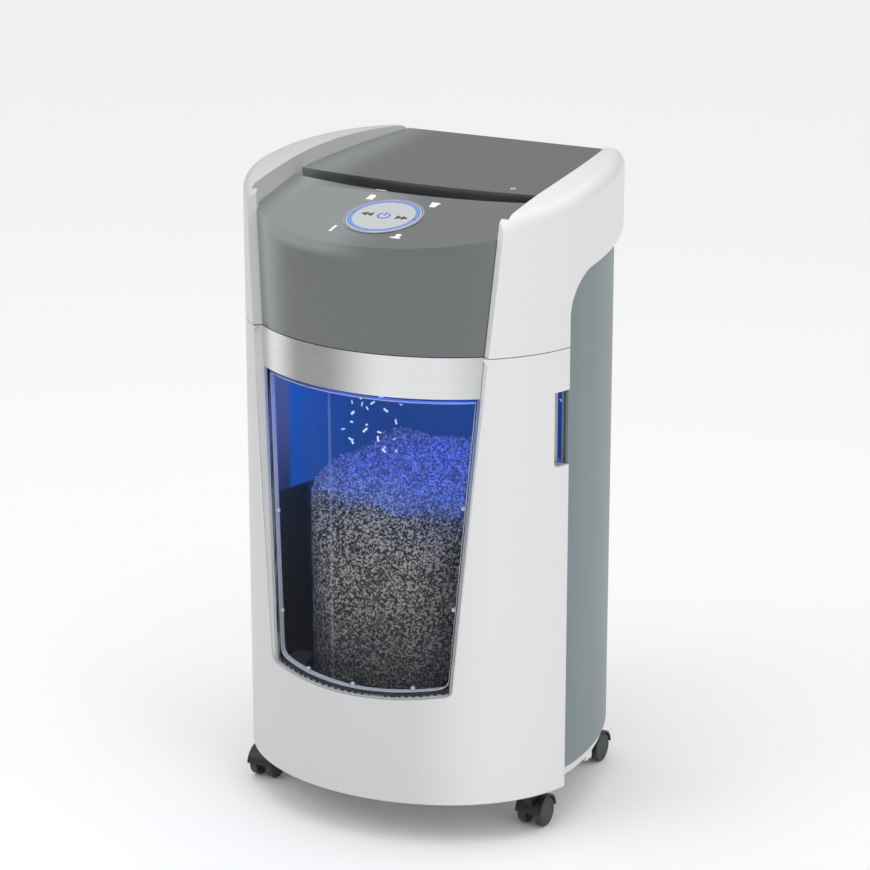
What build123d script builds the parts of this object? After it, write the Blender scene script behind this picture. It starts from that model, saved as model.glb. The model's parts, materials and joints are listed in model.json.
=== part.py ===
"""Free-standing office paper shredder: shell, head, cutter block, pull-out drawer, bin and castors.

Millimetres. Origin on the floor at the middle of the outer box; +X right, +Y back, +Z up.
"""

from build123d import *
import math
import os

os.makedirs("parts", exist_ok=True)

# ---- outer size -------------------------------------------------------------
width = 390.0  # across the widest line of the white shell
front_depth = 159.5  # widest line to the foremost point
rear_depth = 195.5  # widest line to the flat back
split_z = 535.0  # seam between drawer and head
arm_top_front = 681.5  # top of an arm where its front corner ends
arm_top_middle = 695.4
arm_top_back = 697.4
shell_bottom = 46.0
arm_curve_depth = 286.0  # rear half-depth of the arms' ellipse
cover_curve_depth = 252.0  # rear half-depth of the rear cover's ellipse
cover_inset = 2.5  # rear cover behind the shell's surface
back_corner_r = 14.0

# ---- walls and clearances ----------------------------------------------------
wall = 3.0
seam = 1.0
seat_gap = 0.4
part_gap = 0.6

# ---- window opening ----------------------------------------------------------
opening_at_split = 140.2  # half-width at the seam
opening_lean = 0.08  # half-width gained per mm of height
bevel_at_split = 7.7
bevel_at_sill = 3.0
sill_z = 160.0  # lowest point of the opening
sill_sag = 9.0
sill_corner_r = 10.0
flange = 4.0
panel_radius = 218.0
panel_set_back = 9.8
pane_lean = 8.0  # pane moves forward by this down to the sill
band_height = 44.5
seam_y = -46.5  # rear edge of the drawer shell
side_curve_r = 46.0  # S curve under the arms
side_curve_z = 608.0
side_curve_rise = 0.085
arm_inner_bow = 30.6  # arms close in by this at the back
arm_round = 14.0  # outer top edge of the arms
arm_roof = 10.0  # thickness under the rounded edge
arm_inner_wall_z = 652.0  # the arms' inner walls start here

# ---- head --------------------------------------------------------------------
console_tilt = 11.9
console_z = 660.8  # console surface at the disc's centre
disc_y = -95.2
console_front_r = 18.0
console_skin = 11.0
slot_front_mid = -37.6  # console's rear edge on the centre line
slot_front_end = -22.6
slot_rear_mid = -15.6
slot_rear_end = -5.6
slot_half = 149.0
deck_front_z = 679.4
deck_back_z = 694.0
lip_bottom = 645.0  # the console is open to the rear below this
deck_low = 628.0
deck_side_z = 668.0
disc_r = 40.0
bezel_r = 42.2
bezel_in_r = 40.5
icon_x = 37.5
icon_y = 40.5
tray_z = 536.5
tray_thick = 4.0
tray_front = -98.0

# ---- cutter block and drive --------------------------------------------------
nip_y = -39.0
nip_z = 587.0
cutter_r = 18.0
cutter_core_r = 14.0
cutter_disc_w = 2.6
cutter_pitch = 6.0
cutter_count = 38
shaft_spacing = 34.0
journal_r = 8.0
bearing_r = 11.0
fit = 0.05
plate_x = 121.0  # inner face of a cutter side plate
plate_thick = 4.0
sync_module = 2.0
sync_teeth = 17
drive_module = 1.5
drive_teeth = 44
idler_small_teeth = 12
idler_module = 1.0
idler_big_teeth = 72
motor_teeth = 12
gear_w = 6.0
motor_y = 48.0
motor_z = 628.0
motor_r = 33.0
motor_len = 118.0

# ---- cabinet and drawer ------------------------------------------------------
base_bottom = 55.0
base_top = 66.0
cover_bottom = 66.0
liner_wall = 2.5
liner_front = -40.0
rail_x = 140.0
floor_z = 79.0
floor_thick = 4.0
shelf_z = 141.0
shelf_thick = 4.0
shelf_back = -56.0
bin_half = 108.0
bin_front = -127.0
bin_back = 138.0
bin_corner = 72.0
bin_back_corner = 30.0
bin_top = 478.0
bin_wall = 2.5
bin_taper = 4.0
side_top_front = 342.0
side_top_back = 318.0
pull_z_low = 409.0
pull_z_high = 490.0
pull_front = -67.5
pull_depth = 13.0

# ---- castors -----------------------------------------------------------------
wheel_r = 16.0
wheel_w = 9.0
wheel_gap = 20.5  # between the middles of the two wheels
castor_trail = 14.0
stem_r = 4.0
castors = {
    "front_left": (-160.0, -69.0, -1),
    "front_right": (162.0, -69.0, 1),
    "rear_left": (-138.0, 118.0, 1),
    "rear_right": (138.0, 118.0, 1),
}

# ---- worked out --------------------------------------------------------------
half_w = width / 2
wide_y = (front_depth - rear_depth) / 2
front_y = wide_y - front_depth
back_y = wide_y + rear_depth
panel_y = front_y + panel_set_back
tilt = math.radians(console_tilt)
console_plane = Plane(
    origin=(0, disc_y, console_z), x_dir=(1, 0, 0), z_dir=(0, -math.sin(tilt), math.cos(tilt))
)
above = 760.0  # clear of everything
wide = 300.0


def write(part, name):
    """Label a finished piece and write its STEP file."""
    part.label = name
    export_step(part, f"parts/{name}.step")


def outline(level, half, front, rear, back, corner=0.0):
    """Closed plan: elliptical front, elliptical sides to the rear, straight back."""
    turn = math.degrees(math.asin((back - wide_y) / rear))
    with BuildSketch(Plane.XY.offset(level)) as plan:
        with BuildLine():
            EllipticalCenterArc((0, wide_y), half, front, 180, arc_size=180)
            right = EllipticalCenterArc((0, wide_y), half, rear, 0, arc_size=turn)
            left = EllipticalCenterArc((0, wide_y), half, rear, 180 - turn, arc_size=turn)
            Line(right @ 1, left @ 0)
        make_face()
        if corner > 0:
            fillet(plan.vertices().group_by(Axis.Y)[-1], radius=corner)
    return plan.sketch


def shell_outline(level, inset):
    """Plan of the white shell and arms, moved in by inset."""
    return outline(
        level, half_w - inset, front_depth - inset, arm_curve_depth - inset, back_y - inset, back_corner_r
    )


def cover_outline(level, inset):
    """Plan of the grey rear cover, moved in by inset."""
    gap = cover_inset + inset
    return outline(
        level, half_w - gap, front_depth - gap, cover_curve_depth - inset, back_y - inset, back_corner_r
    )


def opening_half(z):
    """Half-width of the opening in the white shell at a height."""
    return opening_at_split + opening_lean * (z - split_z)


def bevel(z):
    """Width of the bevel beside the opening at a height."""
    share = min(1.0, max(0.0, (split_z - z) / (split_z - sill_z)))
    return bevel_at_split + (bevel_at_sill - bevel_at_split) * share


def lean_at(z):
    """How far the pane has moved forward at a height."""
    top = split_z - band_height
    return pane_lean * min(1.0, max(0.0, (top - z) / (top - sill_z)))


def panel_depth(x, z):
    """Y of the dark panel, silver band or pane surface."""
    return panel_y + panel_radius - math.sqrt(panel_radius**2 - x**2) - lean_at(z)


def shell_depth(x):
    """Y of the white shell's front surface."""
    return wide_y - front_depth * math.sqrt(1 - (x / half_w) ** 2)


def inner_half(z, level, gap=0.0):
    """Right half of the space between the arms at height z, drawn at a level."""
    edge_x = opening_half(z) - gap
    bevel_x = edge_x - bevel(z)
    edge_y = shell_depth(edge_x)
    bevel_y = panel_depth(bevel_x, z)
    reach = (bevel_y - front_y + 30) / (bevel_y - edge_y)
    ahead_x = bevel_x + (edge_x - bevel_x) * reach
    flange_y = panel_depth(opening_half(z) - bevel(z), z) + flange + max(gap, 0.0)
    with BuildSketch(Plane.XY.offset(level)) as half:
        with BuildLine():
            outer = Polyline(
                (0, front_y - 30),
                (ahead_x, front_y - 30),
                (bevel_x, bevel_y),
                (bevel_x, flange_y),
                (edge_x, flange_y),
                (edge_x, wide_y),
            )
            bow = ThreePointArc(
                (edge_x, wide_y),
                (edge_x - arm_inner_bow / 4, (wide_y + back_y) / 2),
                (edge_x - arm_inner_bow, back_y),
            )
            Polyline(bow @ 1, (edge_x - arm_inner_bow, back_y + 20), (0, back_y + 20), outer @ 0)
        make_face()
    return half.sketch


def window_half(z, level, gap=0.0):
    """Right half of the beveled window opening at height z, through the front only."""
    edge_x = opening_half(z) - gap
    bevel_x = edge_x - bevel(z)
    edge_y = shell_depth(edge_x)
    bevel_y = panel_depth(bevel_x, z)
    reach = (bevel_y - front_y + 30) / (bevel_y - edge_y)
    ahead_x = bevel_x + (edge_x - bevel_x) * reach
    with BuildSketch(Plane.XY.offset(level)) as half:
        with BuildLine():
            Polyline(
                (0, front_y - 30),
                (ahead_x, front_y - 30),
                (bevel_x, bevel_y),
                (bevel_x, wide_y),
                (0, wide_y),
                close=True,
            )
        make_face()
    return half.sketch


def arm_profile(lower=0.0, bottom=split_z + seam / 2):
    """Side view of the arms: S curve below, rounded front corner, long bowed top."""
    with BuildSketch(Plane.YZ) as side:
        with BuildLine():
            under = FilletPolyline(
                (front_y - 30, bottom),
                (seam_y, bottom),
                (seam_y, side_curve_z - lower),
                (back_y + 30, side_curve_z - lower + side_curve_rise * (back_y + 30 - seam_y)),
                radius=(0.1, side_curve_r),
            )
            corner = ThreePointArc(
                (-131 + lower / 2, 640 - lower),
                (-120.6 + lower / 2, 666.4 - lower),
                (-101.6 + lower / 2, arm_top_front - lower),
            )
            top = ThreePointArc(
                corner @ 1, (-7.6, arm_top_middle - lower), (back_y, arm_top_back - lower)
            )
            Polyline(under @ 0, (front_y - 30, 640 - lower), corner @ 0)
            Polyline(top @ 1, (back_y + 30, arm_top_back - lower), under @ 1)
        make_face()
    return side.sketch


def inner_block(low, high, gap=0.0):
    """Space between the arms as a solid, both sides."""
    with BuildPart() as block:
        loft([inner_half(low, low, gap), inner_half(high, high, gap)], ruled=True)
        mirror(about=Plane.YZ)
    return block.part


def front_view(half_at, low, sag, high, corner):
    """Front view of the window: leaning sides, bowed lower edge, rounded lower corners."""
    side_low = half_at(low)
    side_high = half_at(high)
    with BuildSketch(Plane.XZ) as view:
        with BuildLine():
            foot = ThreePointArc((-side_low, low + sag), (0, low), (side_low, low + sag))
            Polyline(foot @ 1, (side_high, high), (-side_high, high), foot @ 0)
        make_face()
        fillet(view.vertices().group_by(Axis.Z)[0], radius=corner)
    return view.sketch


# ---- white arms of the head --------------------------------------------------
with BuildPart() as arm_block:
    extrude(shell_outline(split_z - 5, 0), amount=above - split_z)
    extrude(arm_profile(), amount=wide, both=True, mode=Mode.INTERSECT)
    rim = arm_block.faces().filter_by(lambda f: f.normal_at().Z > 0.5).edges()
    rim = rim.filter_by(lambda e: abs(e.center().X) > half_w / 2 and e.center().Z > side_curve_z)
    fillet(rim, radius=arm_round)

with BuildPart() as arm_void:
    extrude(shell_outline(split_z - 5, wall + 1), amount=above - split_z)
    extrude(arm_profile(arm_roof, split_z - 20), amount=wide, both=True, mode=Mode.INTERSECT)
    add(inner_block(arm_inner_wall_z, above, -wall), mode=Mode.SUBTRACT)
    with Locations((0, front_y + 35, split_z + 100)):
        Box(wide * 2, 70, 400, mode=Mode.SUBTRACT)

inside = inner_block(split_z, above)

with BuildPart() as arm_right:
    add(arm_block.part)
    add(inside, mode=Mode.SUBTRACT)
    add(arm_void.part, mode=Mode.SUBTRACT)
    split(bisect_by=Plane.YZ, keep=Keep.TOP)

write(arm_right.part, "arm_right")

with BuildPart() as arm_left:
    add(mirror(arm_right.part, about=Plane.YZ))
write(arm_left.part, "arm_left")

# ---- dark console: curved front panel and tilted top --------------------------


def slot_edge(mid, end, level, reach):
    """Plan of everything in front of a bowed edge across the head."""
    with BuildSketch(Plane.XY.offset(level)) as ahead:
        with BuildLine():
            bowed = ThreePointArc((-slot_half, end), (0, mid), (slot_half, end))
            Polyline(
                bowed @ 1,
                (reach, end + (end - mid) * 0.6),
                (reach, front_y - 40),
                (-reach, front_y - 40),
                (-reach, end + (end - mid) * 0.6),
                bowed @ 0,
            )
        make_face()
    return ahead.sketch


def panel_outline(level, inset):
    """Plan of everything behind the front panel's curved face."""
    with BuildSketch(Plane.XY.offset(level)) as behind:
        with Locations((0, panel_y + panel_radius)):
            Circle(panel_radius - inset)
    return behind.sketch


with BuildPart() as console_block:
    extrude(panel_outline(split_z + seam / 2, 0), amount=above - split_z)
    add(inner_block(split_z, above, part_gap), mode=Mode.INTERSECT)
    extrude(slot_edge(slot_front_mid, slot_front_end, split_z, wide), amount=above, mode=Mode.INTERSECT)
    split(bisect_by=console_plane, keep=Keep.BOTTOM)
    nose = console_block.faces().sort_by(Axis.Z)[-1].edges().sort_by(Axis.Y)[0]
    fillet(nose, radius=console_front_r)

with BuildPart() as console_void:
    extrude(panel_outline(split_z - 5, wall), amount=above - split_z)
    add(inner_block(split_z, above, part_gap + wall), mode=Mode.INTERSECT)
    extrude(
        slot_edge(slot_front_mid - wall, slot_front_end - wall, split_z - 10, wide),
        amount=above,
        mode=Mode.INTERSECT,
    )
    split(bisect_by=console_plane.offset(-console_skin), keep=Keep.BOTTOM)

with BuildPart() as front_console:
    add(console_block.part)
    add(console_void.part, mode=Mode.SUBTRACT)
    with BuildSketch(console_plane.offset(-console_skin - 2)):
        Circle(bezel_r)
    extrude(amount=console_skin + 10, mode=Mode.SUBTRACT)
    with BuildSketch(console_plane.offset(-1.5)):
        with Locations(*[(sx * icon_x, sy * icon_y) for sx in (-1, 1) for sy in (-1, 1)]):
            Circle(3.1)
    extrude(amount=10, mode=Mode.SUBTRACT)
    with Locations((0, tray_front - 1, split_z)):
        Box(wide * 2, wide, lip_bottom - split_z, align=(Align.CENTER, Align.MIN, Align.MIN), mode=Mode.SUBTRACT)
write(front_console.part, "front_console")

with BuildPart() as status_lenses:
    with BuildSketch(console_plane.offset(-1.4)):
        with Locations(*[(sx * icon_x, sy * icon_y) for sx in (-1, 1) for sy in (-1, 1)]):
            Circle(3.0)
    extrude(amount=1.4)
write(status_lenses.part, "status_lenses")

# ---- control disc ---------------------------------------------------------------
carrier_top = -7.0
carrier_thick = 2.5

with BuildPart() as disc_bezel:
    with BuildSketch(console_plane.offset(-console_skin)):
        Circle(bezel_r)
        Circle(bezel_in_r, mode=Mode.SUBTRACT)
    extrude(amount=console_skin + 0.8)
write(disc_bezel.part, "disc_bezel")

with BuildPart() as control_disc:
    with BuildSketch(console_plane.offset(-3.0)):
        Circle(disc_r)
    extrude(amount=4.0)
    fillet(control_disc.edges().filter_by(GeomType.CIRCLE).sort_by(Axis.Z)[-1], radius=0.6)
    with BuildSketch(console_plane.offset(0.2)):
        Circle(39.0 - 0.6)
        Circle(33.4, mode=Mode.SUBTRACT)
    extrude(amount=2, mode=Mode.SUBTRACT)
write(control_disc.part, "control_disc")

with BuildPart() as light_ring:
    with BuildSketch(console_plane.offset(0.25)):
        Circle(38.2)
        Circle(33.6, mode=Mode.SUBTRACT)
        Rectangle(90, 1.6, mode=Mode.SUBTRACT)
        Rectangle(1.6, 90, mode=Mode.SUBTRACT)
    extrude(amount=0.75)
write(light_ring.part, "light_ring")

with BuildPart() as disc_carrier:
    with BuildSketch(console_plane.offset(carrier_top - carrier_thick)):
        Circle(bezel_in_r - seat_gap - 0.3)
    extrude(amount=carrier_thick)
    with BuildSketch(console_plane.offset(carrier_top)):
        Rectangle(3.0, 50)
    extrude(amount=-carrier_top - 3.0 - 0.1)
write(disc_carrier.part, "disc_carrier")

with BuildPart() as control_board:
    with BuildSketch(console_plane.offset(-console_skin - 4.5)):
        Rectangle(150, 86)
    extrude(amount=1.6)
write(control_board.part, "control_board")

# ---- rear deck: sloping lid behind the slot, with the slot's dark lip --------------
deck_slope = math.atan((deck_back_z - deck_front_z) / (back_y - slot_rear_mid))
deck_plane = Plane(
    origin=(0, slot_rear_mid, deck_front_z),
    x_dir=(1, 0, 0),
    z_dir=(0, -math.sin(deck_slope), math.cos(deck_slope)),
)


def deck_block(name_inset, top_drop, low):
    """Space under the deck's top, behind its bowed lip, moved in by an inset."""
    with BuildPart() as block:
        add(inner_block(low, above, part_gap + name_inset))
        split(bisect_by=deck_plane.offset(-top_drop), keep=Keep.BOTTOM)
        ahead = slot_edge(slot_rear_mid + name_inset, slot_rear_end + name_inset, low - 5, wide)
        extrude(ahead, amount=above, mode=Mode.SUBTRACT)
        extrude(shell_outline(low - 5, part_gap + name_inset), amount=above, mode=Mode.INTERSECT)
    return block.part


with BuildPart() as rear_deck:
    add(deck_block(0, 0, deck_low))
    add(deck_block(wall, wall, deck_low - 5), mode=Mode.SUBTRACT)
    with Locations((0, back_y - 2 * wall, deck_side_z)):
        Box(wide * 2, wide * 2, 100, align=(Align.CENTER, Align.MAX, Align.MAX), mode=Mode.SUBTRACT)
write(rear_deck.part, "rear_deck")

# ---- paper guides under the slot -----------------------------------------------
guide_half = 118.0
guide_thick = 1.5
throat = 8.0
guide_low = nip_z + cutter_r + 3.0
guides = {
    "paper_guide_front": [
        (slot_front_mid - 1.5, lip_bottom - 0.5),
        (nip_y - throat / 2, guide_low),
    ],
    "paper_guide_rear": [
        (slot_rear_mid - 1.0, deck_side_z - 1.0),
        (nip_y + throat / 2, guide_low),
    ],
}
for name, ((top_y, top_z), (low_y, low_z)) in guides.items():
    side = -1 if name.endswith("front") else 1
    back = side * guide_thick
    with BuildPart() as guide:
        with BuildSketch(Plane.YZ):
            with BuildLine():
                Polyline(
                    (top_y, top_z),
                    (low_y, low_z),
                    (low_y + back * 8, low_z),
                    (low_y + back * 8, low_z + guide_thick),
                    (low_y + back, low_z + guide_thick),
                    (top_y + back, top_z),
                    close=True,
                )
            make_face()
        extrude(amount=guide_half, both=True)
    write(guide.part, name)

# ---- head tray -------------------------------------------------------------------
chute_half_x = 119.0
chute_front = nip_y - 33.0
chute_back = nip_y + 33.0
with BuildPart() as head_tray:
    extrude(cover_outline(tray_z, wall + 2.0), amount=tray_thick)
    with Locations((0, tray_front, tray_z)):
        Box(wide * 2, wide, 40, align=(Align.CENTER, Align.MAX, Align.CENTER), mode=Mode.SUBTRACT)
    with BuildSketch(Plane.XY.offset(tray_z)) as chute_hole:
        with Locations((0, (chute_front + chute_back) / 2)):
            RectangleRounded(2 * chute_half_x, chute_back - chute_front, 6)
    extrude(amount=tray_thick, mode=Mode.SUBTRACT)
write(head_tray.part, "head_tray")

# ---- cutter block ------------------------------------------------------------------
tray_top = tray_z + tray_thick
cutter_half = cutter_count * cutter_pitch / 2
front_shaft = (nip_y - shaft_spacing / 2, nip_z)
rear_shaft = (nip_y + shaft_spacing / 2, nip_z)
outer_plate = plate_x + plate_thick
gear_start = outer_plate + 2.0
gear_two_start = gear_start + gear_w + 1.0
gear_end = gear_two_start + gear_w


def shaft_plane(centre, x):
    """Plane across a shaft that runs along X."""
    return Plane(origin=(x, centre[0], centre[1]), x_dir=(0, 1, 0), z_dir=(1, 0, 0))


def turned(centre, steps):
    """A body turned about a shaft along X, from (x, radius) steps."""
    with BuildPart() as body:
        axis_plane = Plane(origin=(0, centre[0], centre[1]), x_dir=(1, 0, 0), z_dir=(0, 0, 1))
        with BuildSketch(axis_plane):
            with BuildLine():
                Polyline(*[(steps[0][0], 0), *steps, (steps[-1][0], 0)], close=True)
            make_face()
        revolve(axis=Axis((0, centre[0], centre[1]), (1, 0, 0)))
    return body.part


def cutter_steps(shift, left_end, right_end, left_r, right_r):
    """Profile of a cutter roller: discs and spacers between two journals."""
    steps = [(left_end, left_r), (-outer_plate - 0.5, left_r), (-outer_plate - 0.5, journal_r)]
    steps += [(-plate_x + 1.0, journal_r), (-plate_x + 1.0, cutter_core_r)]
    for k in range(cutter_count):
        x = -cutter_half + k * cutter_pitch + shift
        steps += [(x, cutter_core_r), (x, cutter_r)]
        steps += [(x + cutter_disc_w, cutter_r), (x + cutter_disc_w, cutter_core_r)]
    steps += [(plate_x - 1.0, cutter_core_r), (plate_x - 1.0, journal_r)]
    steps += [(outer_plate + 0.5, journal_r), (outer_plate + 0.5, right_r), (right_end, right_r)]
    return steps


seat_r = 5.0
write(
    turned(front_shaft, cutter_steps(0.2, -gear_start - gear_w, outer_plate + 1.0, seat_r, seat_r)),
    "cutter_front",
)
write(
    turned(
        rear_shaft,
        cutter_steps(0.2 + cutter_pitch / 2, -gear_start - gear_w, gear_start + gear_w, seat_r, seat_r),
    ),
    "cutter_rear",
)


def gear(centre, x, teeth, module, bore, phase, width_x=gear_w):
    """Spur gear along X with straight-flanked teeth and working backlash."""
    pitch_r = teeth * module / 2
    step = 360.0 / teeth
    tip_r = pitch_r + 0.9 * module
    root_r = pitch_r - 1.2 * module
    points = []
    for k in range(teeth):
        middle = phase + k * step
        for share, radius in ((-0.29, root_r), (-0.12, tip_r), (0.12, tip_r), (0.29, root_r)):
            turn = math.radians(middle + share * step)
            points.append((radius * math.cos(turn), radius * math.sin(turn)))
    with BuildPart() as body:
        with BuildSketch(shaft_plane(centre, x)):
            with BuildLine():
                Polyline(*points, close=True)
            make_face()
            Circle(bore, mode=Mode.SUBTRACT)
        extrude(amount=width_x)
    return body.part


def meshed_phase(towards, phase, teeth, next_teeth):
    """Phase of the next gear so that its gap meets the first gear's tooth."""
    sum_part = (towards - phase) * teeth / 360.0
    return towards + 180.0 - (0.5 - sum_part) * 360.0 / next_teeth


sync_left = -gear_start - gear_w
write(gear(front_shaft, sync_left, sync_teeth, sync_module, seat_r + 0.02, 0.0), "sync_gear_front")
write(
    gear(
        rear_shaft,
        sync_left,
        sync_teeth,
        sync_module,
        seat_r + 0.02,
        meshed_phase(0.0, 0.0, sync_teeth, sync_teeth),
    ),
    "sync_gear_rear",
)

# idler axle where its two meshes reach both the cutter and the motor
mesh_slack = 0.15
reach_cutter = (drive_teeth + idler_small_teeth) * drive_module / 2 + mesh_slack
reach_motor = (idler_big_teeth + motor_teeth) * idler_module / 2 + mesh_slack
span_y = motor_y - rear_shaft[0]
span_z = motor_z - rear_shaft[1]
span = math.hypot(span_y, span_z)
along = (reach_cutter**2 - reach_motor**2 + span**2) / (2 * span)
off = math.sqrt(reach_cutter**2 - along**2)
idler = (
    rear_shaft[0] + (span_y * along + span_z * off) / span,
    rear_shaft[1] + (span_z * along - span_y * off) / span,
)
motor_centre = (motor_y, motor_z)
to_idler = math.degrees(math.atan2(idler[1] - rear_shaft[1], idler[0] - rear_shaft[0]))
to_motor = math.degrees(math.atan2(motor_z - idler[1], motor_y - idler[0]))
idler_phase = meshed_phase(to_idler, 0.0, drive_teeth, idler_small_teeth)
motor_phase = meshed_phase(to_motor, idler_phase, idler_big_teeth, motor_teeth)

write(gear(rear_shaft, gear_start, drive_teeth, drive_module, seat_r + 0.02, 0.0), "drive_gear")

axle_r = 3.0
with BuildPart() as idler_gear:
    add(gear(idler, gear_start, idler_small_teeth, drive_module, axle_r + fit, idler_phase, gear_w + 1.0))
    add(gear(idler, gear_two_start, idler_big_teeth, idler_module, axle_r + fit, idler_phase))
write(idler_gear.part, "idler_gear")

write(
    turned(idler, [(plate_x, axle_r), (gear_end + 5.0, axle_r)]),
    "idler_axle",
)

motor_shaft_r = 2.5
with BuildPart() as motor_rotor:
    add(turned(motor_centre, [(plate_x - motor_len - 8.0, motor_shaft_r), (gear_end, motor_shaft_r)]))
    add(
        gear(
            motor_centre, gear_two_start - 0.5, motor_teeth, idler_module, 1.0, motor_phase, gear_w + 0.5
        )
    )
write(motor_rotor.part, "motor_rotor")

with BuildPart() as motor_body:
    with BuildSketch(shaft_plane(motor_centre, plate_x - motor_len)):
        Circle(motor_r)
    extrude(amount=motor_len)
    fillet(motor_body.edges().filter_by(GeomType.CIRCLE), radius=3.0)
    with BuildSketch(shaft_plane(motor_centre, plate_x - motor_len - 1)):
        Circle(motor_shaft_r + fit)
    extrude(amount=motor_len + 2, mode=Mode.SUBTRACT)
write(motor_body.part, "motor_body")

with BuildPart() as motor_fan:
    fan_x = plate_x - motor_len - 7.0
    with BuildSketch(shaft_plane(motor_centre, fan_x)):
        Circle(motor_r - 4.0)
        Circle(motor_r - 6.0, mode=Mode.SUBTRACT)
        with PolarLocations(motor_r / 2 - 1, 9):
            Rectangle(motor_r - 8, 1.6)
        Circle(7.0)
        Circle(motor_shaft_r, mode=Mode.SUBTRACT)
    extrude(amount=5.0)
write(motor_fan.part, "motor_fan")

plate_front = front_shaft[0] - 30.0
left_plate_back = rear_shaft[0] + 32.0
right_plate_back = motor_y + motor_r + 6.0
plate_top = nip_z + 20.0
big_plate_top = motor_z + motor_r + 3.0


def cutter_plate(x, points, bores):
    """Steel side plate with bearing bores."""
    with BuildPart() as plate:
        with BuildSketch(shaft_plane((0, 0), x)):
            with BuildLine():
                Polyline(*points, close=True)
            make_face()
            for centre, radius in bores:
                with Locations(centre):
                    Circle(radius, mode=Mode.SUBTRACT)
        extrude(amount=plate_thick)
    return plate.part


bearing_bores = [(front_shaft, bearing_r + 0.01), (rear_shaft, bearing_r + 0.01)]
rod_r = 4.0
rods = [(plate_front + 7, tray_top + 9), (left_plate_back - 7, tray_top + 9)]
rods += [(plate_front + 7, plate_top - 6), (left_plate_back - 7, plate_top - 6)]
rod_bores = [(rod, rod_r + 0.01) for rod in rods]
left_points = [
    (plate_front, tray_top),
    (left_plate_back, tray_top),
    (left_plate_back, plate_top),
    (plate_front, plate_top),
]
right_points = [
    (plate_front, tray_top),
    (right_plate_back, tray_top),
    (right_plate_back, big_plate_top),
    (motor_y - motor_r + 4, big_plate_top),
    (left_plate_back, plate_top),
    (plate_front, plate_top),
]
write(cutter_plate(-outer_plate, left_points, bearing_bores + rod_bores), "cutter_plate_left")
write(
    cutter_plate(
        plate_x,
        right_points,
        bearing_bores + rod_bores + [(idler, axle_r + 0.01), (motor_centre, 8.0)],
    ),
    "cutter_plate_right",
)

with BuildPart() as tie_rods:
    for rod in rods:
        with BuildSketch(shaft_plane(rod, -outer_plate)):
            Circle(rod_r)
        extrude(amount=2 * outer_plate)
write(tie_rods.part, "tie_rods")

with BuildPart() as cutter_bearings:
    for shaft in (front_shaft, rear_shaft):
        for x in (-outer_plate, plate_x):
            with BuildSketch(shaft_plane(shaft, x)):
                Circle(bearing_r)
                Circle(journal_r + fit, mode=Mode.SUBTRACT)
            extrude(amount=plate_thick)
write(cutter_bearings.part, "cutter_bearings")

# stripper combs: a bar outside each roller with a finger in every gap
finger_w = 2.0
with BuildPart() as stripper_combs:
    for shaft, side, shift in ((front_shaft, -1, 0.2), (rear_shaft, 1, 0.2 + cutter_pitch / 2)):
        bar_y = shaft[0] + side * (cutter_r + 3.0)
        tip_y = shaft[0] + side * (cutter_core_r + 0.6)
        first = -cutter_half + shift + (cutter_disc_w + cutter_pitch) / 2
        with Locations((0, bar_y, nip_z)):
            Box(2 * plate_x, 4.0, 12.0)
        for k in range(cutter_count - 1):
            with Locations((first + k * cutter_pitch, (bar_y + tip_y) / 2, nip_z)):
                Box(finger_w, abs(bar_y - tip_y), 5.0)
write(stripper_combs.part, "stripper_combs")

cover_x = gear_end + 3.0
case_front = front_shaft[0] - 12.0
case_back = idler[0] + idler_big_teeth * idler_module / 2 + 12.0
case_low = tray_top + 4.0
case_high = motor_z + 16.0


def gear_case(x, inset):
    """Rounded outline round the whole gear train."""
    with BuildSketch(shaft_plane(((case_front + case_back) / 2, (case_low + case_high) / 2), x)) as case:
        RectangleRounded(case_back - case_front - 2 * inset, case_high - case_low - 2 * inset, 12)
    return case.sketch


with BuildPart() as gear_cover:
    extrude(gear_case(outer_plate, 0), amount=cover_x + 2.0 - outer_plate)
    extrude(gear_case(outer_plate, 2.0), amount=cover_x - outer_plate, mode=Mode.SUBTRACT)
    with BuildSketch(shaft_plane(idler, cover_x - 1)):
        Circle(axle_r)
    extrude(amount=4, mode=Mode.SUBTRACT)
write(gear_cover.part, "gear_cover")

# ---- grey rear cover ------------------------------------------------------------
inlet_x = -62.0
inlet_z = 590.0
inlet_w = 30.0
inlet_h = 24.0
socket_wall = 3.0
socket_depth = 18.0
contact_length = 11.0
switch_x = -24.0
switch_w = 22.0
switch_h = 30.0
screw_places = [(sx * 95.0, z) for sx in (-1, 1) for z in (92.0, 500.0)]
screw_r = 1.9
screw_head_r = 4.0
screw_head = 2.0

with BuildPart() as rear_cover:
    extrude(cover_outline(cover_bottom, 0), amount=above - cover_bottom)
    extrude(cover_outline(cover_bottom, wall), amount=above - cover_bottom, mode=Mode.SUBTRACT)
    with BuildSketch(Plane.YZ):
        with BuildLine():
            rise_end = side_curve_z + side_curve_rise * (back_y + 30 - seam_y)
            curve = FilletPolyline(
                (seam_y + 1.5, cover_bottom),
                (seam_y + 1.5, side_curve_z - seam),
                (back_y + 30, rise_end - seam),
                radius=side_curve_r - 1.2,
            )
            Polyline(curve @ 1, (back_y + 30, cover_bottom), curve @ 0)
        make_face()
    extrude(amount=wide, both=True, mode=Mode.INTERSECT)
    with BuildSketch(Plane.XZ.offset(-back_y - 1)):
        with Locations((inlet_x, inlet_z)):
            Rectangle(inlet_w, inlet_h)
        with Locations((switch_x, inlet_z)):
            Rectangle(switch_w, switch_h)
        with Locations((58, inlet_z - 4)):
            with GridLocations(0, 9, 1, 6):
                SlotOverall(84, 4)
        with Locations(*screw_places):
            Circle(screw_r)
    extrude(amount=wall + 2, mode=Mode.SUBTRACT)
    with BuildSketch(Plane.XZ.offset(-back_y - 1)):
        with Locations(*screw_places):
            Circle(screw_head_r)
    extrude(amount=1 + screw_head, mode=Mode.SUBTRACT)
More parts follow.
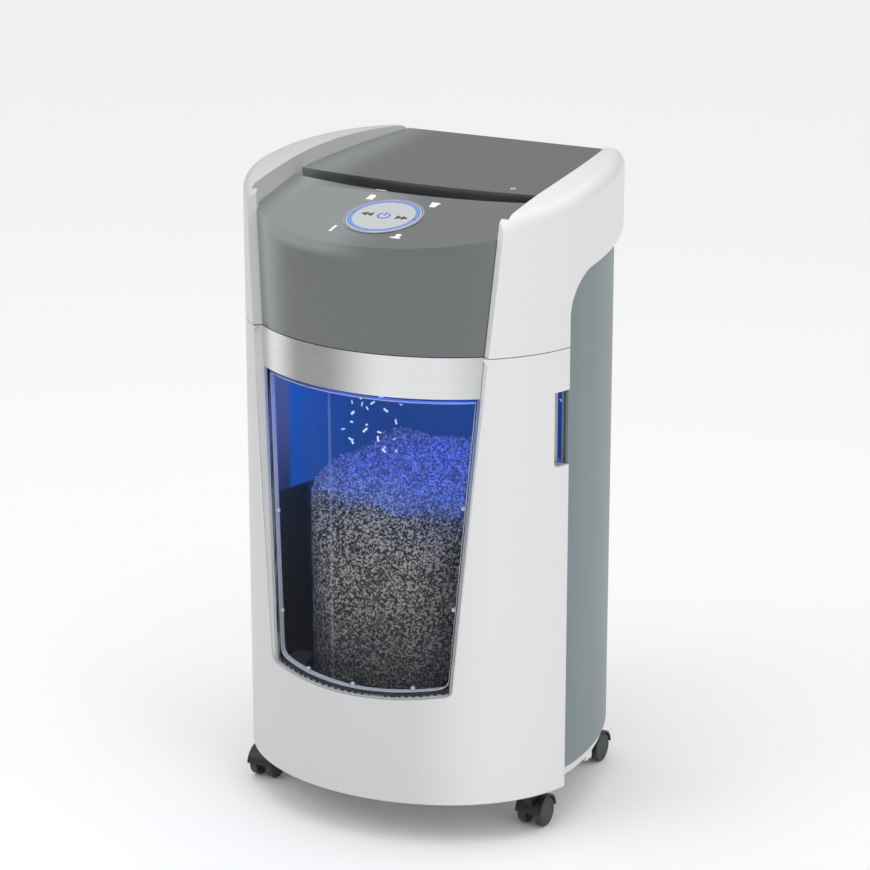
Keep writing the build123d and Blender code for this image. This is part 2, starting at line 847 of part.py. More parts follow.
write(rear_cover.part, "rear_cover")

# ---- base plate -------------------------------------------------------------------
base_half = 188.5
base_front = 153.5
base_rear = 248.0
base_back = 171.5
rim = 4.0
lug_x = 176.5
lug_y = 38.0


def base_outline(level, inset):
    """Plan of the base plate, moved in by inset."""
    return outline(
        level, base_half - inset, base_front - inset, base_rear - inset, base_back - inset, back_corner_r
    )


with BuildPart() as base_plate:
    extrude(base_outline(base_bottom, 0), amount=base_top - base_bottom)
    extrude(base_outline(base_bottom, rim), amount=base_top - base_bottom - rim, mode=Mode.SUBTRACT)
    for rib_x in (-96.0, -32.0, 32.0, 96.0):
        with Locations((rib_x, 14, base_top - rim)):
            Box(3, 240, 5, align=(Align.CENTER, Align.CENTER, Align.MAX))
    with BuildSketch(Plane.XY.offset(base_bottom)):
        with Locations(*[(x, y) for x, y, way in castors.values()]):
            Circle(12)
    extrude(amount=base_top - base_bottom)
    for side in (-1, 1):
        with Locations((side * lug_x, lug_y, 43)):
            Box(7, 14, base_top - 43, align=(Align.CENTER, Align.CENTER, Align.MIN))
    with BuildSketch(Plane.XY.offset(base_bottom - 1)):
        with Locations(*[(x, y) for x, y, way in castors.values()]):
            Circle(stem_r)
    extrude(amount=10, mode=Mode.SUBTRACT)
write(base_plate.part, "base_plate")

# ---- inner liner of the chamber ------------------------------------------------------
liner_inset = 8.0
with BuildPart() as inner_liner:
    extrude(cover_outline(base_top, liner_inset), amount=tray_z - base_top)
    extrude(cover_outline(base_top, liner_inset + liner_wall), amount=tray_z - base_top, mode=Mode.SUBTRACT)
    with Locations((0, liner_front, base_top)):
        Box(wide * 2, wide, 1200, align=(Align.CENTER, Align.MAX, Align.CENTER), mode=Mode.SUBTRACT)
    with BuildSketch(Plane.XZ.offset(-back_y)):
        with Locations(*screw_places):
            Circle(screw_r)
    extrude(amount=20, mode=Mode.SUBTRACT)
write(inner_liner.part, "inner_liner")

with BuildPart() as screws:
    with BuildSketch(Plane.XZ.offset(-back_y)):
        with Locations(*screw_places):
            Circle(screw_head_r)
    extrude(amount=screw_head)
    with BuildSketch(Plane.XZ.offset(-back_y + screw_head)):
        with Locations(*screw_places):
            Circle(screw_r)
    extrude(amount=12)
    with BuildSketch(Plane.XZ.offset(-back_y)):
        with Locations(*screw_places):
            Rectangle(4.5, 0.9)
            Rectangle(0.9, 4.5)
    extrude(amount=1.2, mode=Mode.SUBTRACT)
write(screws.part, "screws")

# ---- lamp, interlock, power board, inlet and switch -------------------------------------
with BuildPart() as led_lamp:
    with Locations((0, -89, tray_z)):
        Box(240, 12, 10, align=(Align.CENTER, Align.CENTER, Align.MAX))
    fillet(led_lamp.edges().filter_by(Axis.X).group_by(Axis.Z)[0], radius=3)
write(led_lamp.part, "led_lamp")

with BuildPart() as interlock_switch:
    with Locations((150, -66, tray_z)):
        Box(20, 11, 9, align=(Align.CENTER, Align.CENTER, Align.MAX))
    with Locations((146, -66, tray_z - 9)):
        Box(6, 4, 2, align=(Align.CENTER, Align.CENTER, Align.MAX))
write(interlock_switch.part, "interlock_switch")

board_z = tray_top + 8.0
with BuildPart() as power_board:
    with Locations((-68, 86, board_z)):
        Box(92, 64, 1.6, align=(Align.CENTER, Align.CENTER, Align.MIN))
    with BuildSketch(Plane.XY.offset(tray_top)):
        with Locations((-68, 86)):
            with GridLocations(82, 54, 2, 2):
                Circle(3)
    extrude(amount=board_z - tray_top)
    with Locations((-92, 76, board_z + 1.6)):
        Box(30, 26, 22, align=(Align.CENTER, Align.CENTER, Align.MIN))
    with BuildSketch(Plane.XY.offset(board_z + 1.6)):
        with Locations((-58, 70), (-42, 70), (-50, 96)):
            Circle(6)
    extrude(amount=16)
write(power_board.part, "power_board")

with BuildPart() as mains_inlet:
    with BuildSketch(Plane.XZ.offset(-back_y)):
        with Locations((inlet_x, inlet_z)):
            Rectangle(inlet_w, inlet_h)
    extrude(amount=socket_depth + 8)
    with BuildSketch(Plane.XZ.offset(-back_y)):
        with Locations((inlet_x, inlet_z)):
            Rectangle(inlet_w - 2 * socket_wall, inlet_h - 2 * socket_wall)
    extrude(amount=socket_depth, mode=Mode.SUBTRACT)
    with BuildSketch(Plane.XZ.offset(-back_y + socket_depth + 0.5)):
        with Locations((inlet_x - 7, inlet_z - 2), (inlet_x, inlet_z + 3), (inlet_x + 7, inlet_z - 2)):
            Rectangle(2, 4)
    extrude(amount=-contact_length)
write(mains_inlet.part, "mains_inlet")

rocker_y = back_y - 7.5
rocker_tilt = 8.0
rocker_half = 11.0
pin_r = 1.2
with BuildPart() as switch_housing:
    with BuildSketch(Plane.XZ.offset(-back_y)):
        with Locations((switch_x, inlet_z)):
            Rectangle(switch_w, switch_h)
    extrude(amount=20)
    with BuildSketch(Plane.XZ.offset(-back_y)):
        with Locations((switch_x, inlet_z)):
            Rectangle(switch_w - 6, 2 * rocker_half + 2)
    extrude(amount=15, mode=Mode.SUBTRACT)
    with BuildSketch(shaft_plane((rocker_y, inlet_z), switch_x)):
        Circle(pin_r + fit)
    extrude(amount=switch_w / 2 - 1, both=True, mode=Mode.SUBTRACT)
write(switch_housing.part, "switch_housing")

rocker_turn = math.radians(rocker_tilt)
rocker_plane = Plane(
    origin=(switch_x, rocker_y, inlet_z),
    x_dir=(0, math.cos(rocker_turn), math.sin(rocker_turn)),
    z_dir=(1, 0, 0),
)
rocker_rise = rocker_half * math.tan(rocker_turn)
with BuildPart() as switch_rocker:
    with BuildSketch(rocker_plane):
        with BuildLine():
            Polyline(
                (-4, -rocker_half),
                (1.5 + rocker_rise, -rocker_half),
                (1.5, 0),
                (1.5 + rocker_rise, rocker_half),
                (-4, rocker_half),
                close=True,
            )
        make_face()
    extrude(amount=switch_w / 2 - 3.4, both=True)
    with BuildSketch(rocker_plane):
        Circle(pin_r)
    extrude(amount=switch_w / 2 - 1.5, both=True)
write(switch_rocker.part, "switch_rocker")

# ---- telescopic rails under the drawer ---------------------------------------------------
rail_front = -115.0
rail_back = 112.0
channel_wall = 1.5


def channel(x, w, z, h, side):
    """Cross-section of a rail channel that opens towards the centre line."""
    with BuildSketch(Plane.XZ.offset(-rail_back)) as section:
        with Locations((side * (x + w / 2), z + h / 2)):
            Rectangle(w, h)
        with Locations((side * (x + (w - channel_wall) / 2), z + h / 2)):
            Rectangle(w - channel_wall, h - 2 * channel_wall, mode=Mode.SUBTRACT)
    return section.sketch


rail_length = rail_back - rail_front
with BuildPart() as fixed_rails:
    for side in (-1, 1):
        extrude(channel(rail_x, 9.0, base_top, 12.0, side), amount=rail_length)
write(fixed_rails.part, "fixed_rails")

with BuildPart() as middle_rails:
    for side in (-1, 1):
        extrude(channel(rail_x - 1.5, 8.5, base_top + 2.0, 8.0, side), amount=rail_length)
write(middle_rails.part, "middle_rails")

web_x = rail_x - 6.0
with BuildPart() as moving_rails:
    for side in (-1, 1):
        with BuildSketch(Plane.XZ.offset(-rail_back)):
            with Locations((side * (web_x + 5.5), base_top + 6.0)):
                Rectangle(11, 4)
            with Locations((side * (web_x + 1.5), (base_top + 4 + floor_z) / 2)):
                Rectangle(3, floor_z - base_top - 4)
        extrude(amount=rail_length)
write(moving_rails.part, "moving_rails")

# ---- drawer front: shell, silver band, window ------------------------------------------
shell_wall = 3.5
shell_top = split_z - seam / 2
band_low = split_z - band_height
lean_rate = pane_lean / (band_low - sill_z)
post_half = 146.0
ledge = 12.0


def behind_panel(inset, low):
    """Everything behind the panel's surface, leaning forward below the band."""
    lean = Vector(0, -lean_rate * (band_low - low), low - band_low)
    with BuildPart() as body:
        extrude(panel_outline(band_low, inset), amount=split_z + 1 - band_low)
        extrude(panel_outline(band_low, inset), amount=lean.length, dir=lean)
    return body.part


def window_cut(gap):
    """Beveled window opening through the front, made smaller by a gap."""
    low = sill_z - ledge
    with BuildPart() as cut:
        loft(
            [window_half(level, level, gap) for level in (low, band_low, split_z + 1)],
            ruled=True,
        )
        mirror(about=Plane.YZ)
        view = front_view(
            lambda z: opening_half(z) - gap, sill_z + gap, sill_sag, split_z + 1, sill_corner_r
        )
        extrude(view, amount=wide, both=True, mode=Mode.INTERSECT)
    return cut.part


def panel_layer(front, back, gap):
    """Layer of the panel between two depths, cut to the window."""
    low = sill_z - ledge
    with BuildPart() as layer:
        add(behind_panel(front, low))
        add(behind_panel(back, low), mode=Mode.SUBTRACT)
        add(window_cut(gap), mode=Mode.INTERSECT)
    return layer.part


def pull_space(grow):
    """Space of both finger recesses at the drawer's rear edge."""
    with BuildPart() as space:
        extrude(shell_outline(pull_z_low - grow, -5), amount=pull_z_high - pull_z_low + 2 * grow)
        extrude(
            shell_outline(pull_z_low - grow, pull_depth + grow),
            amount=pull_z_high - pull_z_low + 2 * grow,
            mode=Mode.SUBTRACT,
        )
        with BuildSketch(Plane.YZ) as side_view:
            with Locations((pull_front - grow, (pull_z_low + pull_z_high) / 2)):
                Rectangle(60, pull_z_high - pull_z_low + 2 * grow, align=(Align.MIN, Align.CENTER))
            fillet(side_view.vertices().group_by(Axis.Y)[0], radius=6 + grow)
        extrude(amount=wide, both=True, mode=Mode.INTERSECT)
    return space.part


with BuildPart() as frame_zone:
    with Locations((0, wide_y, sill_z - ledge)):
        Box(2 * post_half, 400, 500, align=(Align.CENTER, Align.MAX, Align.MIN))
    add(behind_panel(flange, sill_z - ledge - 10), mode=Mode.SUBTRACT)

with BuildPart() as drawer_void:
    extrude(shell_outline(shell_bottom, shell_wall), amount=shell_top - shell_bottom)
    add(frame_zone.part, mode=Mode.SUBTRACT)

with BuildPart() as drawer_shell:
    extrude(shell_outline(shell_bottom, 0), amount=shell_top - shell_bottom)
    add(drawer_void.part, mode=Mode.SUBTRACT)
    with Locations((0, seam_y, shell_bottom)):
        Box(wide * 2, wide * 2, 1200, align=(Align.CENTER, Align.MIN, Align.CENTER), mode=Mode.SUBTRACT)
    add(window_cut(0), mode=Mode.SUBTRACT)
    add(pull_space(0), mode=Mode.SUBTRACT)
write(drawer_shell.part, "drawer_shell")

with BuildPart() as window_pane:
    add(panel_layer(0, flange, seat_gap))
    split(bisect_by=Plane.XY.offset(band_low - seat_gap / 2), keep=Keep.BOTTOM)
write(window_pane.part, "window_pane")

with BuildPart() as silver_band:
    add(panel_layer(0, flange, seat_gap))
    split(bisect_by=Plane.XY.offset(band_low + seat_gap / 2), keep=Keep.TOP)
    split(bisect_by=Plane.XY.offset(shell_top), keep=Keep.BOTTOM)
write(silver_band.part, "silver_band")

with BuildPart() as window_gasket:
    add(panel_layer(flange, flange + 2, -4.0))
    add(window_cut(5.0), mode=Mode.SUBTRACT)
    split(bisect_by=Plane.XY.offset(shell_top), keep=Keep.BOTTOM)
write(window_gasket.part, "window_gasket")

with BuildPart() as pull_cups:
    add(pull_space(2.0))
    add(pull_space(0), mode=Mode.SUBTRACT)
    extrude(shell_outline(shell_bottom, shell_wall), amount=split_z, mode=Mode.INTERSECT)
    with Locations((0, seam_y, split_z)):
        Box(wide * 2, wide, 1200, align=(Align.CENTER, Align.MIN, Align.CENTER), mode=Mode.SUBTRACT)
write(pull_cups.part, "pull_cups")

# ---- drawer floor, shelf and sides ---------------------------------------------------------
floor_half = 138.0
floor_back = 136.0
side_plate = 3.0
side_front = -112.0
side_back = 112.0


def bin_plan(level, grow):
    """Plan of the bin at its foot, grown outwards."""
    with BuildSketch(Plane.XY.offset(level)) as plan:
        with Locations((0, bin_front + bin_taper - grow)):
            Rectangle(
                2 * (bin_half + grow),
                bin_back - bin_front - 2 * bin_taper + 2 * grow,
                align=(Align.CENTER, Align.MIN),
            )
        fillet(plan.vertices().group_by(Axis.Y)[0], radius=bin_corner + grow)
        fillet(plan.vertices().group_by(Axis.Y)[-1], radius=bin_back_corner + grow)
    return plan.sketch


with BuildPart() as drawer_floor:
    extrude(shell_outline(floor_z, shell_wall), amount=floor_thick)
    for side, edge in ((1, Align.MIN), (-1, Align.MAX)):
        with Locations((side * floor_half, seam_y - 1, floor_z)):
            Box(wide, wide, 20, align=(edge, Align.MIN, Align.CENTER), mode=Mode.SUBTRACT)
    with Locations((0, floor_back, floor_z)):
        Box(wide * 2, wide, 20, align=(Align.CENTER, Align.MIN, Align.CENTER), mode=Mode.SUBTRACT)
write(drawer_floor.part, "drawer_floor")

with BuildPart() as drawer_sides:
    for side in (-1, 1):
        with BuildSketch(Plane.YZ.offset(side * (floor_half - side_plate / 2 - 0.5))):
            with BuildLine():
                Polyline(
                    (side_front, floor_z + floor_thick),
                    (side_back, floor_z + floor_thick),
                    (side_back, side_top_back),
                    (side_front, side_top_front),
                    close=True,
                )
            make_face()
        extrude(amount=side_plate / 2, both=True)
write(drawer_sides.part, "drawer_sides")

with BuildPart() as drawer_shelf:
    extrude(shell_outline(shelf_z, shell_wall), amount=shelf_thick)
    with Locations((0, shelf_back, shelf_z)):
        Box(wide * 2, wide * 2, 20, align=(Align.CENTER, Align.MIN, Align.CENTER), mode=Mode.SUBTRACT)
    extrude(bin_plan(shelf_z, 6.0), amount=shelf_thick, mode=Mode.SUBTRACT)
    add(drawer_sides.part, mode=Mode.SUBTRACT)
write(drawer_shelf.part, "drawer_shelf")

# ---- clear bin --------------------------------------------------------------------------------
bin_foot = floor_z + floor_thick
bin_height = bin_top - bin_foot
bin_angle = math.degrees(math.atan(bin_taper / bin_height))
with BuildPart() as waste_bin:
    extrude(bin_plan(bin_foot, 0), amount=bin_height, taper=-bin_angle)
    extrude(bin_plan(bin_top - 4, bin_taper + 3), amount=4)
    extrude(bin_plan(bin_foot, -bin_wall), amount=bin_height + 1, taper=-bin_angle, mode=Mode.SUBTRACT)
    extrude(bin_plan(bin_foot, 0), amount=bin_wall)
write(waste_bin.part, "waste_bin")

# ---- castors --------------------------------------------------------------------------------------
hood_top = 44.5
fender_r = 19.5
axle_pin_r = 2.5
wheelset_half = (wheel_gap + wheel_w) / 2
web_half = (wheel_gap - wheel_w) / 2 - 0.5
for corner, (sx, sy, way) in castors.items():
    axle_y = sy + way * castor_trail
    axle = (axle_y, wheel_r)
    with BuildPart() as hood:
        with BuildSketch(shaft_plane(axle, sx - wheelset_half - 0.5)) as fender:
            Circle(fender_r)
            Circle(wheel_r + 1.3, mode=Mode.SUBTRACT)
            with Locations((0, 2)):
                Rectangle(80, 60, align=(Align.CENTER, Align.MAX), mode=Mode.SUBTRACT)
        extrude(amount=2 * wheelset_half + 1)
        with BuildSketch(shaft_plane(axle, sx - web_half)):
            with BuildLine():
                Polyline(
                    (-22 * way, hood_top - wheel_r),
                    (-22 * way, 20),
                    (-10 * way, -5),
                    (8 * way, -5),
                    (12 * way, 10),
                    (-6 * way, hood_top - wheel_r),
                    close=True,
                )
            make_face()
        extrude(amount=2 * web_half)
        with BuildSketch(Plane.XY.offset(hood_top)):
            with Locations((sx, sy)):
                Circle(8)
        extrude(amount=-8)
        with BuildSketch(shaft_plane(axle, sx - web_half)):
            Circle(axle_pin_r + fit)
        extrude(amount=2 * web_half, mode=Mode.SUBTRACT)
        with BuildSketch(Plane.XY.offset(hood_top)):
            with Locations((sx, sy)):
                Circle(stem_r + fit)
        extrude(amount=-7, mode=Mode.SUBTRACT)
    write(hood.part, f"castor_hood_{corner}")

    with BuildPart() as wheels:
        for side in (-1, 1):
            with BuildSketch(shaft_plane(axle, sx + side * wheel_gap / 2)):
                Circle(wheel_r)
            extrude(amount=wheel_w / 2, both=True)
        treads = wheels.edges().filter_by(GeomType.CIRCLE)
        fillet(treads, radius=1.8)
        with BuildSketch(shaft_plane(axle, sx)):
            Circle(axle_pin_r)
        extrude(amount=web_half + 1, both=True)
    write(wheels.part, f"castor_wheels_{corner}")

with BuildPart() as castor_stems:
    with BuildSketch(Plane.XY.offset(hood_top - 6)):
        with Locations(*[(x, y) for x, y, way in castors.values()]):
            Circle(stem_r)
    extrude(amount=base_bottom + 9 - hood_top + 6)
write(castor_stems.part, "castor_stems")
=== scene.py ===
"""Looks of a free-standing office paper shredder, built around its fixed frame."""

import json
import math
import random

import bmesh
import bpy
from mathutils import Matrix, Vector


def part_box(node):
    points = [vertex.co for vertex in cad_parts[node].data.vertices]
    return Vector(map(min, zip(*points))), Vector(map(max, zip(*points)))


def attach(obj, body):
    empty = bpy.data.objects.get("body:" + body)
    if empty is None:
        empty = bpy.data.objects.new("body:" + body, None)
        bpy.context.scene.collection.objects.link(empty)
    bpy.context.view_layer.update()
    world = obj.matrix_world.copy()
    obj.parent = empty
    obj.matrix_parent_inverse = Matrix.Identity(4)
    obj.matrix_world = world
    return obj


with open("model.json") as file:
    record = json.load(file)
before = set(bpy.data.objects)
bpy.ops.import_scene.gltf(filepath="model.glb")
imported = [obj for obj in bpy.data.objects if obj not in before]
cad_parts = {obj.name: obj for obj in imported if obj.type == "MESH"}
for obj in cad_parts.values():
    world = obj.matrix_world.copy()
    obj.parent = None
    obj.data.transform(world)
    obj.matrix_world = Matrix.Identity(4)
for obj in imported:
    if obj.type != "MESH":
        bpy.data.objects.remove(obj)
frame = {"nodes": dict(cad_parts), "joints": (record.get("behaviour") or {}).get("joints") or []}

bl_info = {
    "name": "Office Shredder Finisher",
    "version": (1, 0, 0),
    "blender": (4, 5, 0),
    "location": "View3D > Sidebar > Shredder",
    "description": "Adds shreds, glyphs, trim, finishes and a studio to the shredder's frame",
    "category": "Add Mesh",
}

MM = 0.001
NODES = frame["nodes"]
JOINTS = {joint["name"]: joint for joint in frame["joints"]}
BIN_LOW, BIN_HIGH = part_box("waste_bin")
LENS_LOW, LENS_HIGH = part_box("status_lenses")
DECK_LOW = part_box("rear_deck")[0]
PANE_LOW, PANE_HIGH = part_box("window_pane")

# The pane is part of a cylinder that leans forward towards its foot, and it narrows downwards.
PANE_RADIUS = 218 * MM
PANE_LEAN = 8 * MM
PANE_TAPER = 0.0668
PANE_SAG = 9 * MM

# The disc's own plane: across is +X, up the slope is the rocking axis.
SLOPE = Vector(JOINTS["disc_rock"]["axis"]).normalized()
ACROSS = Vector((1, 0, 0))
NORMAL = ACROSS.cross(SLOPE)
PIVOT = Vector(JOINTS["disc_rock"]["pos_m"])
DISC_FACE = PIVOT + NORMAL * 4.1 * MM
CONSOLE_FACE = PIVOT + NORMAL * 3.1 * MM

# The deck's front edge on the centre line, and how far it rises to its back.
DECK_EDGE_Y = -15.6 * MM
DECK_EDGE_Z = 679.4 * MM
DECK_RISE = 14.6
DECK_RUN = 193.1

# How bright the room's walls are at each bearing in degrees.
ROOM_LEVELS = (
    (-180, 0.42), (-130, 0.75), (-98, 1.15), (-60, 0.42), (4, 0.98),
    (40, 0.62), (85, 1.05), (130, 0.5), (180, 0.42),
)


# ---- sizes and colours that a user would change ---------------------------------


class ShredderFinish(bpy.types.PropertyGroup):
    """Colours of the machine's own plastics and metals."""

    shell: bpy.props.FloatVectorProperty(
        name="Shell", description="White gloss shell", subtype="COLOR", size=3, default=(0.76, 0.77, 0.76)
    )
    cover: bpy.props.FloatVectorProperty(
        name="Rear cover",
        description="Grey rear cover",
        subtype="COLOR", size=3, default=(0.185, 0.235, 0.250)
    )
    console: bpy.props.FloatVectorProperty(
        name="Console",
        description="Dark metallic head",
        subtype="COLOR", size=3, default=(0.158, 0.168, 0.170)
    )
    band: bpy.props.FloatVectorProperty(
        name="Band", description="Satin silver band", subtype="COLOR", size=3, default=(0.60, 0.61, 0.61)
    )
    glow: bpy.props.FloatVectorProperty(
        name="Chamber light",
        description="Colour of the lamp",
        subtype="COLOR", size=3, default=(0.012, 0.215, 1.0)
    )
    glow_power: bpy.props.FloatProperty(
        name="Chamber light power", description="Strength of the wall glow", default=0.30, min=0.0
    )


class ShredderShreds(bpy.types.PropertyGroup):
    """Sizes of the shreds and of their heap."""

    fill: bpy.props.FloatProperty(
        name="Fill", description="Height of the heap at the wall", subtype="DISTANCE", default=0.262
    )
    dome: bpy.props.FloatProperty(
        name="Dome", description="Rise of the heap's middle", subtype="DISTANCE", default=0.030
    )
    strip_width: bpy.props.FloatProperty(
        name="Strip width", description="Width of one shred", subtype="DISTANCE", default=0.0014
    )
    strip_reach: bpy.props.FloatProperty(
        name="Strip reach", description="Curl radius of one shred", subtype="DISTANCE", default=0.0045
    )
    top_count: bpy.props.IntProperty(name="Top shreds", description="Shreds on the heap", default=3600, min=0)
    side_count: bpy.props.IntProperty(
        name="Side shreds", description="Shreds at the wall",
        default=3600, min=0,
    )
    cling_count: bpy.props.IntProperty(
        name="Clinging shreds", description="Shreds on the bin",
        default=46, min=0,
    )


class ShredderStudio(bpy.types.PropertyGroup):
    """Camera, lights and floor."""

    azimuth: bpy.props.FloatProperty(
        name="Azimuth",
        description="Camera to the right of the front",
        subtype="ANGLE", default=math.radians(28.718)
    )
    elevation: bpy.props.FloatProperty(
        name="Elevation",
        description="Camera above the horizon",
        subtype="ANGLE", default=math.radians(17.167)
    )
    lens: bpy.props.FloatProperty(name="Lens", description="Focal length in mm", default=125.16)
    key_power: bpy.props.FloatProperty(
        name="Key", description="Left soft light",
        subtype="POWER", default=12.0,
    )
    fill_power: bpy.props.FloatProperty(
        name="Fill", description="Right soft light",
        subtype="POWER", default=8.0,
    )
    lamp_power: bpy.props.FloatProperty(name="Lamp", description="Chamber lamp", subtype="POWER", default=0.5)


# ---- materials ---------------------------------------------------------------------


class Wire:
    """A socket that takes part in arithmetic, adding Math nodes as it goes."""

    def __init__(self, finish, socket):
        self.finish = finish
        self.socket = socket

    def maths(self, operation, *values):
        return self.finish.node("ShaderNodeMath", {"operation": operation}, dict(enumerate(values)))

    def __add__(self, other):
        return self.maths("ADD", self, other)

    def __sub__(self, other):
        return self.maths("SUBTRACT", self, other)

    def __mul__(self, other):
        return self.maths("MULTIPLY", self, other)

    def __rsub__(self, other):
        return self.maths("SUBTRACT", other, self)

    __radd__ = __add__
    __rmul__ = __mul__

    def ramp(self, low, high):
        """0 below low, 1 above high, smooth between."""
        return self.finish.node(
            "ShaderNodeMapRange",
            {"interpolation_type": "SMOOTHSTEP"},
            {"Value": self, "From Min": low, "From Max": high},
        )


class Wiring:
    """A node tree that is built up node by node."""

    def __init__(self, tree):
        self.tree = tree
        self.tree.nodes.clear()

    def node(self, kind, settings, inputs, output=0):
        """Adds a node, its settings first, and returns one of its outputs."""
        made = self.tree.nodes.new(kind)
        for key, value in settings.items():
            setattr(made, key, value)
        for key, value in inputs.items():
            if isinstance(value, Wire):
                self.tree.links.new(value.socket, made.inputs[key])
            else:
                made.inputs[key].default_value = value
        return Wire(self, made.outputs[output])

    def blend(self, factor, low, high):
        """Colour between two colours."""
        return self.node(
            "ShaderNodeMix", {"data_type": "RGBA"}, {0: factor, 6: rgba(low), 7: rgba(high)}, output=2
        )


class Finish(Wiring):
    """One procedural material on Object coordinates."""

    def __init__(self, name):
        self.material = bpy.data.materials.new(name)
        self.material.use_nodes = True
        super().__init__(self.material.node_tree)
        self.place = self.node("ShaderNodeTexCoord", {}, {}, output="Object")
        self.x = self.node("ShaderNodeSeparateXYZ", {}, {"Vector": self.place}, output="X")
        self.y = Wire(self, self.x.socket.node.outputs["Y"])
        self.z = Wire(self, self.x.socket.node.outputs["Z"])

    def stretched(self, scale):
        """Object coordinates stretched by a scale for each axis."""
        return self.node("ShaderNodeMapping", {"vector_type": "POINT"}, {"Vector": self.place, "Scale": scale})

    def noise(self, scale, detail=2.0, vector=None):
        return self.node(
            "ShaderNodeTexNoise", {}, {"Vector": vector or self.place, "Scale": scale, "Detail": detail}
        )

    def cells(self, scale, vector=None):
        """A flat random grey for each cell."""
        colour = self.node(
            "ShaderNodeTexVoronoi", {}, {"Vector": vector or self.place, "Scale": scale}, output="Color"
        )
        return self.node("ShaderNodeSeparateXYZ", {}, {"Vector": colour}, output="X")

    def bump(self, height, distance, strength=1.0):
        return self.node(
            "ShaderNodeBump", {}, {"Height": height, "Distance": distance, "Strength": strength}
        )

    def surface(self, **inputs):
        """The finished Principled surface; a key names its socket with _ for each space."""
        named = {key.replace("_", " "): value for key, value in inputs.items()}
        shader = self.node("ShaderNodeBsdfPrincipled", {}, named)
        self.node_out(shader)
        return self.material

    def node_out(self, shader):
        out = self.tree.nodes.new("ShaderNodeOutputMaterial")
        self.tree.links.new(shader.socket, out.inputs["Surface"])


def rgba(colour):
    """A colour with its alpha, or a wire left as it is."""
    return colour if isinstance(colour, Wire) else (*colour[:3], 1.0)


def shade(colour, factor):
    """The same colour, lighter or darker."""
    return tuple(min(1.0, c * factor) for c in colour[:3])


def gloss_plastic(name, colour, rough=0.34, coat=0.12, left=1.0):
    """Moulded gloss plastic: faint mottle and uneven polish.

    A left below 1 paints the left end darker. It stands in for soft shade, and isn't the plastic's own colour.
    """
    f = Finish(name)
    # tone is the faint mottle plus painted shade: the colour darkens from the right end towards the left.
    tone = f.noise(9.0) * 0.04 + f.x.ramp(-0.21, -0.10) * 0.36 + f.x.ramp(0.06, 0.15) * 0.60
    return f.surface(
        Base_Color=f.blend(tone, shade(colour, left), colour),
        Roughness=f.noise(60.0) * 0.08 + (rough - 0.04),
        Coat_Weight=coat,
        Coat_Roughness=0.2,
        Normal=f.bump(f.noise(420.0), 0.00001, 0.3),
    )


def grained_plastic(name, colour, rough=0.5, grain=900.0, depth=0.00008):
    """Moulded plastic with a fine spark-eroded grain."""
    f = Finish(name)
    fine = f.noise(grain, 3.0)
    return f.surface(
        Base_Color=f.blend(f.noise(14.0), shade(colour, 0.94), shade(colour, 1.06)),
        Roughness=fine * 0.14 + (rough - 0.07),
        Normal=f.bump(fine, depth, 0.6),
    )


def metallic_paint(name, colour, rough=0.33, metal=0.8):
    """Satin metallic paint with fine flakes.

    The lighter left end and middle are painted on, and stand in for soft reflections.
    """
    f = Finish(name)
    flake = f.cells(2600.0)
    high = f.z.ramp(0.628, 0.640) * (1 - f.y.ramp(-0.045, -0.035)) * (1 - f.x.ramp(-0.040, 0.030)) * 0.55
    left = 1 - f.x.ramp(-0.150, -0.075)
    light_zone = left.maths("MAXIMUM", left, high)
    body = f.blend(flake, shade(colour, 0.86), shade(colour, 1.16))
    return f.surface(
        Base_Color=f.blend(light_zone, body, shade(colour, 2.4)),
        Metallic=metal,
        Roughness=f.noise(40.0) * 0.07 + (rough - 0.03),
        Coat_Weight=0.25,
        Coat_Roughness=0.2,
        Normal=f.bump(flake, 0.00002, 0.25),
    )


def brushed_metal(name, colour, along, rough=0.3):
    """Brushed or drawn metal; along is the scale on each axis, small along the brushing."""
    f = Finish(name)
    lines = f.noise(1.0, 4.0, f.stretched(along))
    return f.surface(
        Base_Color=f.blend(lines, shade(colour, 0.86), shade(colour, 1.08)),
        Metallic=0.9,
        Roughness=lines * 0.18 + (rough - 0.09),
        Normal=f.bump(lines, 0.00003, 0.35),
    )


def satin_band(name, colour):
    """Brushed band.

    Its light and dark upright zones are painted on, and stand in for soft reflections.
    """
    f = Finish(name)
    lines = f.noise(1.0, 4.0, f.stretched((4, 4, 1500)))
    left = 1 - f.x.ramp(-0.110, -0.065)
    middle = f.x.ramp(-0.035, 0.040) * (1 - f.x.ramp(0.090, 0.150) * 0.6)
    sheen = f.blend(left.maths("MAXIMUM", left, middle), shade(colour, 0.58), shade(colour, 1.42))
    return f.surface(
        Base_Color=f.node(
            "ShaderNodeMix",
            {"data_type": "RGBA", "blend_type": "MULTIPLY"},
            {0: 0.2, 6: sheen, 7: lines},
            output=2,
        ),
        Metallic=0.85,
        Roughness=lines * 0.12 + 0.28,
        Normal=f.bump(lines, 0.00003, 0.3),
    )


def clear_plastic(name, tint, alpha, edge, rough=0.06):
    """Clear moulding: nearly see-through face on, denser at its edges, with a painted highlight down its front
    left corner.
    """
    f = Finish(name)
    facing = f.node("ShaderNodeLayerWeight", {}, {"Blend": 0.35}, output="Facing")
    wipe = f.noise(5.0, 4.0)
    # corner: a thin pale blue line down the front left corner's crease, a painted highlight in colour and
    # opacity.
    line = f.x.maths("ABSOLUTE", f.x + (BIN_HIGH.x - 64 * MM))
    corner = (1 - line.ramp(0.0006, 0.0016)) * (1 - f.y.ramp(-0.08, -0.07))
    return f.surface(
        Base_Color=f.blend(corner, tint, (0.42, 0.50, 0.80)),
        Roughness=wipe * 0.06 + rough,
        Alpha=facing * facing * facing * edge + corner * 0.16 + alpha + wipe * 0.01,
        Specular_IOR_Level=0.6,
    )


